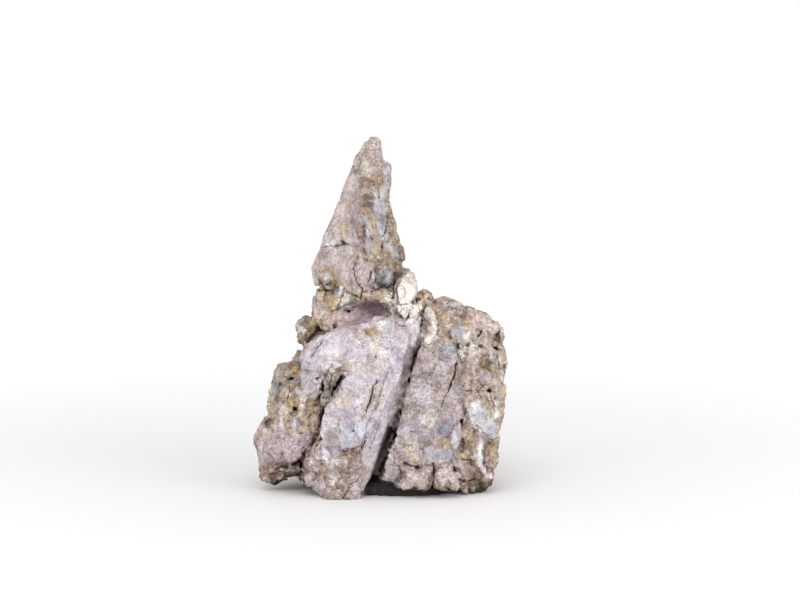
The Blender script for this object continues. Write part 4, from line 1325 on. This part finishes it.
# places drawn on the front
stray = [swell(p, 6, 31), swell(p, 2.2, 32), swell(p, 6, 33), swell(p, 2.2, 34)]
fu, fv = sheet_of(p + snap * F32(0.45))
fu, fv = fu + 0.9 * stray[0] + 0.7 * stray[1], fv + 0.9 * stray[2] + 0.7 * stray[3]
u, v = sheet_of(p + snap)
u, v = u + 1.3 * stray[0] + 0.9 * stray[1], v + 1.3 * stray[2] + 0.9 * stray[3]
facing = normals[:, 1] * F32(-COS) + normals[:, 2] * F32(SIN)
forward = step(-0.15, 0.25, facing) * (1 - step(2, 14, p[:, 1] - np.where(p[:, 2] > 150, 10, 0)))
smooth_paint = ("blue", "blue_pale", "blue_white", "blue_deep", "white", "pink_white", "mauve_deep", "green_white")
for name, outline in FIELDS:
    a = np.array(outline)
    k = np.flatnonzero((fu > a[:, 0].min() - 4) & (fu < a[:, 0].max() + 4) & (fv > a[:, 1].min() - 4)
                       & (fv < a[:, 1].max() + 4) & (forward > 0))
    if not len(k):
        continue
    d = inside_distance(fu[k], fv[k], outline)
    cover = step(-0.6, 0.7, d + 0.5 * swell(p[k], 2.6, 47)) * forward[k]
    shade = 1 + (fine[k, 2:3] - 0.5) * 0.14 + swell(p[k], 3.2, 35)[:, None] * 0.09
    tint[k] = mix(tint[k], linear("brown_light") * 0.75, np.exp(-((d + 0.5) / 0.6) ** 2) * forward[k] * 0.15)
    tint[k] = mix(tint[k], linear(name) * shade, cover * 0.85)
    if name in smooth_paint:
        grit[k] *= 1 - 0.5 * cover
for k_patch, (pu, pv, ru, rv, turn, name) in enumerate(PATCHES):
    k = np.flatnonzero((np.abs(u - pu) < 1.7 * max(ru, rv)) & (np.abs(v - pv) < 1.7 * max(ru, rv)) & (forward > 0))
    if not len(k):
        continue
    t = math.radians(turn)
    du, dv = u[k] - pu, v[k] - pv
    a, b = (du * math.cos(t) + dv * math.sin(t)) / ru, (dv * math.cos(t) - du * math.sin(t)) / rv
    r = np.sqrt(a * a + b * b) + 0.16 * swell(p[k], 3.0, 40 + k_patch % 7)
    cover = (1 - step(0.78, 1.12, r)) * forward[k]
    shade = 1 + (fine[k, 2:3] - 0.5) * 0.16 + swell(p[k], 3.2, 35)[:, None] * 0.08
    rim = np.exp(-((r - 1.05) / 0.16) ** 2) * forward[k] * 0.18
    tint[k] = mix(tint[k], linear(name) * shade, cover * 0.88)
    tint[k] = mix(tint[k], linear("brown_light") * 0.8, rim)
    if name in smooth_paint:
        grit[k] *= 1 - 0.5 * cover
tint *= gain[:, None]
tint *= np.where(look == LOOK["block"], 0.93 + 0.16 * step(400, 435, v), 1)[:, None].astype(F32)
k = np.flatnonzero(look == LOOK["lobe"])
tint[k] *= mix(np.array([(0.84, 0.80, 0.75)], F32).repeat(len(k), 0), np.array((1.22, 1.24, 1.25), F32), step(394, 408, v[k]))
for name, tone in TONE.items():
    tint[look == LOOK[name]] *= np.array(tone, F32)

# raised white plates
for height, outline in PLATES[1:6]:
    d = inside_distance(fu, fv, outline)
    k = np.flatnonzero((forward > 0) & (d > -0.6))
    tint[k] = mix(tint[k], linear("white") * np.array((0.95, 0.915, 0.90), F32) * (1 + (fine[k, 2:3] - 0.5) * 0.12 + swell(p[k], 3, 36)[:, None] * 0.06),
                  0.9 * forward[k])
    grit[k] *= 0.3
    k = np.flatnonzero((forward > 0) & (np.abs(d + 0.3) < 0.6))
    tint[k] = mix(tint[k], linear("brown_light"), 0.35 * forward[k])

# thin dark lines along the cracks: the way across the nearest one, in mm, and half its width
def crack_lines(p):
    u, v = sheet_of(p)
    u = u + 1.1 * swell(p, 4.5, 13) + 0.6 * swell(p, 1.8, 14)
    v = v + 1.1 * swell(p, 4.5, 15) + 0.6 * swell(p, 1.8, 16)
    front = p[:, 1] < np.where(p[:, 2] > 160, 12, 4)
    across, half = np.full(len(p), 9.0, F32), np.zeros(len(p), F32)
    for width, _, points in CRACKS + HAIRS:
        a = np.array(points)
        k = np.flatnonzero(front & (u > a[:, 0].min() - 5) & (u < a[:, 0].max() + 5) & (v > a[:, 1].min() - 5)
                           & (v < a[:, 1].max() + 5))
        for j, ((u0, v0), (u1, v1)) in enumerate(zip(points, points[1:])):
            du, dv = u1 - u0, v1 - v0
            long = math.hypot(du, dv)
            t = ((u[k] - u0) * du + (v[k] - v0) * dv) / long
            side = ((u[k] - u0) * dv - (v[k] - v0) * du) / long
            over = np.maximum(np.maximum(-t, t - long), 0)
            d = np.hypot(side, over) * SHEET_UNIT
            ends = ((j == 0) & (t < -0.8)) | ((j == len(points) - 2) & (t > long + 0.8))
            near = (d < np.abs(across[k])) & (d < 2.2)
            q = k[near]
            across[q] = (np.where(side < 0, -1, 1) * d)[near]
            half[q] = np.where(ends, 0, 0.10 + 0.15 * width)[near]
    return across, half


across, half_line = crack_lines(p)

# hollows are dirty and dark, edges worn and pale
hidden = np.zeros(len(p), F32)
for reach, weight in ((1.2, 0.30), (2.6, 0.32), (5.0, 0.38)):
    hidden += weight * np.clip(1 - sampled(field, p + normals * F32(reach)) / reach, 0, 1)
proud = np.clip(sampled(field, p - normals * F32(1.6)) / 1.6 + 1, 0, 1)
cavity = step(0.10, 0.75, hidden)
tint = mix(tint, tint * linear("brown_mauve") * 1.6, cavity * 0.55)
tint = mix(tint, linear("brown_dark"), step(0.5, 1.0, hidden) * 0.55)
tint = mix(tint, np.minimum(tint * 1.18 + 0.02, 0.95), proud * 0.5)
tint = np.clip(tint, 0.01, 0.93)
streak = np.isin(look, [LOOK[n] for n in ("broken", "shoulder", "vein", "strip")]).astype(F32)
streak *= 0.35 + 0.65 * (tint[:, 2] > tint[:, 0] * 0.95)
underneath = np.maximum(step(0.75, 1.0, -normals[:, 2]), step(-0.2, 0.4, -normals[:, 2]) * step(-33, -25, p[:, 1]) * (p[:, 1] < 0))
underneath *= (1 - step(9, 20, p[:, 2])) * (1 - 0.85 * (look == LOOK["lobe_foot"]))
shaded = (look == LOOK["under"]) * (1 - step(12, 20, p[:, 2])) * (1 - 0.5 * step(-5, 15, p[:, 1]))
shaded *= step(-30, -20, p[:, 0])
set_back = step(-41, -36, p[:, 1]) * (1 - step(0, 8, p[:, 1])) * (1 - step(9, 14, p[:, 2]))
set_back *= step(-17, -11, p[:, 0]) * (1 - step(44, 62, p[:, 0]))
shaded = np.maximum(shaded, set_back)
low_wall = (look == LOOK["wall"]) * (0.85 - 0.62 * step(400, 450, v) - 0.12 * step(452, 472, v))
tint *= np.where(look == LOOK["wall"], low_wall, 1)[:, None].astype(F32)
deep_wall = (look == LOOK["wall"]) * 0.62 * step(400, 452, v) * (p[:, 1] < 0) * (u > 340)
gloom = np.maximum(np.maximum(0.9 * underneath, 0.95 * shaded), deep_wall).astype(F32)
shiny = np.isin(look, [LOOK[n] for n in ("mauve", "slab", "strip", "boss", "hollow", "nodule", "vein")]).astype(F32)


def keep(name, values):
    kind = "FLOAT_COLOR" if values.ndim == 2 else "FLOAT"
    layer = thin.attributes.new(name, kind, "POINT")
    if values.ndim == 2:
        values = np.concatenate([values, np.ones((len(values), 1), F32)], axis=1)
        layer.data.foreach_set("color", np.ascontiguousarray(values, F32).ravel())
    else:
        layer.data.foreach_set("value", np.ascontiguousarray(values, F32))


keep("tint", tint)
keep("grit", grit)
keep("cavity", cavity.astype(F32))
keep("shiny", shiny)
keep("gloom", gloom)
keep("streak", streak.astype(F32))
keep("across", across)
keep("half_line", half_line.astype(F32))


class Nodes:
    """A short way to lay out shader nodes."""

    def __init__(self, material):
        self.tree = material.node_tree

    def add(self, kind, label=None, **values):
        node = self.tree.nodes.new(kind)
        for key, value in values.items():
            setattr(node, key, value)
        return node

    def link(self, a, b):
        self.tree.links.new(a, b)

    def value(self, node, name, what):
        socket = node.inputs[name]
        if hasattr(what, "links"):
            self.link(what, socket)
        else:
            socket.default_value = what

    def math(self, operation, a, b=0.0, c=0.0, clamp=False):
        node = self.add("ShaderNodeMath", operation=operation, use_clamp=clamp)
        for k, what in enumerate((a, b, c)):
            self.value(node, k, what)
        return node.outputs[0]

    def noise(self, where, scale, detail=2.0, rough=0.55, distort=0.0):
        node = self.add("ShaderNodeTexNoise")
        self.link(where, node.inputs["Vector"])
        for name, what in (("Scale", scale), ("Detail", detail), ("Roughness", rough), ("Distortion", distort)):
            node.inputs[name].default_value = what
        return node.outputs["Fac"]

    def cells(self, where, scale, feature="F1", jitter=1.0):
        node = self.add("ShaderNodeTexVoronoi", feature=feature)
        self.link(where, node.inputs["Vector"])
        node.inputs["Scale"].default_value = scale
        node.inputs["Randomness"].default_value = jitter
        return node

    def range(self, what, a, b, c, d, kind="LINEAR"):
        node = self.add("ShaderNodeMapRange", interpolation_type=kind)
        for name, value in (("Value", what), ("From Min", a), ("From Max", b), ("To Min", c), ("To Max", d)):
            self.value(node, name, value)
        return node.outputs[0]

    def blend(self, mode, amount, a, b):
        node = self.add("ShaderNodeMix", data_type="RGBA", blend_type=mode)
        self.value(node, 0, amount)
        self.value(node, 6, a)
        self.value(node, 7, b)
        return node.outputs[2]


def lin4(name, gain=1.0):
    return tuple(float(x) * gain for x in linear(name)) + (1.0,)


def stone_look():
    stone = bpy.data.materials.new("stone_look")
    stone.use_nodes = True
    n = Nodes(stone)
    bsdf = stone.node_tree.nodes["Principled BSDF"]
    where = n.add("ShaderNodeTexCoord").outputs["Object"]
    tint = n.add("ShaderNodeAttribute", attribute_name="tint").outputs["Color"]
    grit = n.add("ShaderNodeAttribute", attribute_name="grit").outputs["Fac"]
    cavity = n.add("ShaderNodeAttribute", attribute_name="cavity").outputs["Fac"]
    shiny = n.add("ShaderNodeAttribute", attribute_name="shiny").outputs["Fac"]

    grain = n.noise(where, 900, 3.0, 0.7)
    patchy = n.noise(where, 260, 4.0, 0.6)
    broad = n.noise(where, 70, 3.0, 0.5)
    grains = n.cells(where, 800)
    apart = n.add("ShaderNodeSeparateColor")
    n.link(grains.outputs["Color"], apart.inputs[0])
    # light and dark grain, stronger where the crust is rough
    strong = n.range(grit, 0.3, 1.1, 0.55, 1.15)
    each = n.math("MULTIPLY_ADD", n.math("SUBTRACT", apart.outputs[0], 0.5), n.math("MULTIPLY", strong, 0.56), 1.0)
    shade = n.range(grain, 0.25, 0.75, 0.75, 1.22)
    shade2 = n.range(patchy, 0.3, 0.7, 0.88, 1.10)
    shade = n.math("MULTIPLY", n.math("MULTIPLY", shade, shade2), each)
    # drawn-out bands in the quartz, along the bedding
    streak = n.add("ShaderNodeAttribute", attribute_name="streak").outputs["Fac"]
    height_above = n.add("ShaderNodeSeparateXYZ")
    n.link(where, height_above.inputs[0])
    in_peak = n.math("GREATER_THAN", height_above.outputs[2], 0.151)
    bands = []
    for turn in (math.radians(-9), LEAN):
        along = n.add("ShaderNodeMapping", vector_type="TEXTURE")
        n.link(where, along.inputs["Vector"])
        along.inputs["Rotation"].default_value = (0, turn, 0)
        along.inputs["Scale"].default_value = (1, 1, 9)
        bands.append(n.range(n.noise(along.outputs[0], 520, 3.0, 0.6), 0.3, 0.7, 0.66, 1.26))
    band = n.math("ADD", n.math("MULTIPLY", bands[0], in_peak),
                  n.math("MULTIPLY", bands[1], n.math("SUBTRACT", 1.0, in_peak)))
    band = n.math("MULTIPLY_ADD", n.math("SUBTRACT", band, 1.0), streak, 1.0)
    shade = n.math("MULTIPLY", shade, band)
    colour = n.blend("MULTIPLY", 1.0, tint, shade)
    warm = n.math("MULTIPLY", n.range(apart.outputs[1], 0.55, 1.0, 0.0, 0.5), strong, clamp=True)
    colour = n.blend("MIX", warm, colour, n.blend("MULTIPLY", 1.0, colour, lin4("beige", 1.75)))
    # earthy film in patches
    film = n.math("MULTIPLY", n.range(n.noise(where, 180, 5.0, 0.7), 0.52, 0.72, 0.0, 0.55), grit, clamp=True)
    colour = n.blend("MIX", film, colour, n.blend("MULTIPLY", 1.0, colour, lin4("ochre", 1.9)))
    # dark specks, pores and pale grains
    dots = n.cells(where, 520)
    which = n.math("GREATER_THAN", n.noise(where, 130, 2.0), 0.47)
    speck = n.math("MULTIPLY", n.range(dots.outputs["Distance"], 0.16, 0.30, 1.0, 0.0), which)
    colour = n.blend("MIX", n.math("MULTIPLY", speck, n.math("MULTIPLY", grit, 0.55), clamp=True), colour,
                     lin4("brown_dark"))
    pale = n.cells(where, 430)
    which = n.math("GREATER_THAN", n.noise(where, 100, 2.0), 0.50)
    grains = n.math("MULTIPLY", n.range(pale.outputs["Distance"], 0.14, 0.30, 1.0, 0.0), which)
    colour = n.blend("MIX", n.math("MULTIPLY", grains, 0.42), colour, lin4("cream"))
    # sharp-edged blotches, pale and dark
    for scale, a, b, name, gain, most in ((290, 0.535, 0.575, "cream", 1.0, 0.34), (210, 0.56, 0.60, "mauve_dark", 0.8, 0.34),
                                          (380, 0.57, 0.61, "brown_light", 0.8, 0.42), (330, 0.60, 0.64, "ochre", 0.9, 0.34)):
        drawn = n.add("ShaderNodeVectorMath", operation="ADD")
        n.link(where, drawn.inputs[0])
        drawn.inputs[1].default_value = (scale * 0.01, 0.7, scale * 0.003)
        blotch = n.range(n.noise(drawn.outputs[0], scale, 5.0, 0.62), a, b, 0.0, most)
        colour = n.blend("MIX", n.math("MULTIPLY", blotch, n.range(grit, 0.3, 1.0, 0.35, 1.0)), colour, lin4(name, gain))
    # short dark scribbles where the crust is broken up
    curl = n.noise(where, 330, 2.5, 0.55, 0.6)
    curl = n.range(n.math("ABSOLUTE", n.math("SUBTRACT", curl, 0.5)), 0.006, 0.022, 1.0, 0.0)
    curl = n.math("MULTIPLY", curl, n.range(n.noise(where, 210, 3.0, 0.6), 0.48, 0.58, 0.0, 1.0))
    colour = n.blend("MIX", n.math("MULTIPLY", curl, n.range(grit, 0.3, 1.0, 0.22, 0.55)), colour, lin4("brown", 0.9))
    # hair cracks
    bent = n.add("ShaderNodeVectorMath", operation="MULTIPLY_ADD")
    drift = n.add("ShaderNodeTexNoise")
    n.link(where, drift.inputs["Vector"])
    drift.inputs["Scale"].default_value = 110
    drift.inputs["Detail"].default_value = 3
    n.link(drift.outputs["Color"], bent.inputs[0])
    bent.inputs[1].default_value = (0.007, 0.007, 0.007)
    n.link(where, bent.inputs[2])
    lines = n.cells(bent.outputs[0], 95, "DISTANCE_TO_EDGE").outputs["Distance"]
    hair = n.math("MULTIPLY", n.range(lines, 0.012, 0.045, 1.0, 0.0),
                  n.range(n.noise(where, 60, 2.0), 0.50, 0.66, 0.0, 1.0))
    colour = n.blend("MIX", n.math("MULTIPLY", hair, 0.30), colour, lin4("brown"))
    colour = n.blend("MULTIPLY", n.math("MULTIPLY", cavity, 0.35), colour, lin4("brown_mauve", 1.1))
    # the drawn cracks
    across = n.add("ShaderNodeAttribute", attribute_name="across").outputs["Fac"]
    half = n.add("ShaderNodeAttribute", attribute_name="half_line").outputs["Fac"]
    half = n.math("MULTIPLY", half, n.range(n.noise(where, 300, 3.0, 0.6), 0.36, 0.60, 0.1, 1.45))
    line = n.math("SUBTRACT", half, n.math("ABSOLUTE", across))
    line = n.math("MULTIPLY", n.range(line, -0.12, 0.12, 0.0, 1.0), n.math("GREATER_THAN", half, 0.05))
    colour = n.blend("MIX", n.math("MULTIPLY", line, 0.72), colour, lin4("brown_dark", 0.9))
    gloom = n.add("ShaderNodeAttribute", attribute_name="gloom").outputs["Fac"]
    colour = n.blend("MIX", gloom, colour, n.blend("MULTIPLY", 1.0, lin4("black", 0.8), shade))
    n.link(colour, bsdf.inputs["Base Color"])

    rough = n.math("ADD", n.range(grain, 0.2, 0.8, 0.60, 0.86), n.math("MULTIPLY", shiny, -0.10))
    rough = n.math("ADD", rough, n.math("MULTIPLY", speck, 0.1), clamp=True)
    n.link(rough, bsdf.inputs["Roughness"])
    bsdf.inputs["Specular IOR Level"].default_value = 0.4

    height = n.math("MULTIPLY", grain, 0.30)
    height = n.math("ADD", height, n.math("MULTIPLY", patchy, 0.75))
    height = n.math("ADD", height, n.math("MULTIPLY", speck, -0.35))
    height = n.math("ADD", height, n.math("MULTIPLY", grains, 0.12))
    height = n.math("ADD", height, n.math("MULTIPLY", hair, -0.45))
    height = n.math("ADD", height, n.math("MULTIPLY", line, -0.7))
    height = n.math("ADD", height, n.math("MULTIPLY", curl, -0.5))
    height = n.math("ADD", height, n.math("MULTIPLY", n.cells(where, 330).outputs["Distance"], 0.35))
    bump = n.add("ShaderNodeBump")
    bump.inputs["Strength"].default_value = 0.85
    bump.inputs["Distance"].default_value = 0.0011
    n.link(n.math("MULTIPLY", height, n.range(grit, 0.3, 1.1, 0.65, 1.15)), bump.inputs["Height"])
    n.link(bump.outputs["Normal"], bsdf.inputs["Normal"])
    return stone


thin.materials.clear()
thin.materials.append(stone_look())
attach(rock, "root")
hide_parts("rock")

# ---------------------------------------------------------------- floor, light, camera
def bowl():
    """A round floor that rises far out, so its edge never shows."""
    rings, turns = [0, 0.4, 0.8, 1.4, 2.2, 3.2, 4.5, 6, 7.5, 9, 10.4, 11.4, 12], 72
    points, faces = [], []
    for r in rings:
        rise = 0 if r <= 4.5 else 5.5 * (1 - math.sqrt(max(0, 1 - ((r - 4.5) / 7.5) ** 2)))
        points += [(r * math.cos(2 * math.pi * k / turns), r * math.sin(2 * math.pi * k / turns), rise)
                   for k in range(turns)]
    for j in range(len(rings) - 1):
        for k in range(turns):
            n = (k + 1) % turns
            faces.append((j * turns + k, (j + 1) * turns + k, (j + 1) * turns + n, j * turns + n))
    mesh = bpy.data.meshes.new("floor")
    mesh.from_pydata(points, [], faces)
    bm = bmesh.new()
    bm.from_mesh(mesh)
    bmesh.ops.remove_doubles(bm, verts=bm.verts, dist=1e-5)
    bmesh.ops.recalc_face_normals(bm, faces=bm.faces)
    if bm.faces[0].normal.z < 0:
        bmesh.ops.reverse_faces(bm, faces=bm.faces)
    bm.to_mesh(mesh)
    bm.free()
    mesh.polygons.foreach_set("use_smooth", np.ones(len(mesh.polygons), bool))
    return bpy.data.objects.new("floor", mesh)


floor = bowl()
bpy.context.scene.collection.objects.link(floor)
paper = bpy.data.materials.new("paper")
paper.use_nodes = True
bsdf = paper.node_tree.nodes["Principled BSDF"]
bsdf.inputs["Base Color"].default_value = (0.93, 0.93, 0.93, 1)
bsdf.inputs["Roughness"].default_value = 0.9
bsdf.inputs["Specular IOR Level"].default_value = 0.1
bsdf.inputs["Emission Color"].default_value = (1, 1, 1, 1)
tree = paper.node_tree
place = tree.nodes.new("ShaderNodeTexCoord")
away = tree.nodes.new("ShaderNodeVectorMath")
away.operation = "LENGTH"
tree.links.new(place.outputs["Object"], away.inputs[0])
glow = tree.nodes.new("ShaderNodeMapRange")
glow.interpolation_type = "SMOOTHSTEP"
glow.inputs["From Min"].default_value, glow.inputs["From Max"].default_value = 0.10, 1.2
glow.inputs["To Min"].default_value, glow.inputs["To Max"].default_value = 0.0, 0.30
tree.links.new(away.outputs["Value"], glow.inputs["Value"])
tree.links.new(glow.outputs["Result"], bsdf.inputs["Emission Strength"])
floor.data.materials.append(paper)

scene = bpy.context.scene
world = bpy.data.worlds.new("studio")
scene.world = world
world.use_nodes = True
world.node_tree.nodes["Background"].inputs["Color"].default_value = (1, 1, 1, 1)
world.node_tree.nodes["Background"].inputs["Strength"].default_value = 0.66
scene.view_settings.view_transform = "Standard"


def softbox(name, place, aim, width, height, power, colour=(1, 1, 1)):
    light = bpy.data.lights.new(name, "AREA")
    light.shape = "RECTANGLE"
    light.size, light.size_y, light.energy, light.color = width, height, power, colour
    o = bpy.data.objects.new(name, light)
    scene.collection.objects.link(o)
    o.location = place
    o.rotation_euler = (Vector(aim) - Vector(place)).to_track_quat("-Z", "Y").to_euler()
    return o


softbox("key", (-0.25, -1.5, 1.75), (0, 0, 0.12), 1.4, 1.2, 15)
softbox("right", (1.55, -1.25, 0.85), (0, 0, 0.12), 1.3, 1.2, 12)
softbox("left", (-1.5, -1.4, 0.7), (0, 0, 0.12), 1.2, 1.2, 5)

lens = bpy.data.cameras.new("camera")
lens.sensor_width = 36
lens.lens = 36 * FOCUS / 800
lens.clip_start, lens.clip_end = 0.05, 60
camera = bpy.data.objects.new("camera", lens)
scene.collection.objects.link(camera)
camera.location = (EYE[0] / 1000, EYE[1] / 1000, EYE[2] / 1000)
camera.rotation_euler = (math.pi / 2 - EYE_TILT, 0, 0)
scene.camera = camera

bpy.context.view_layer.update()
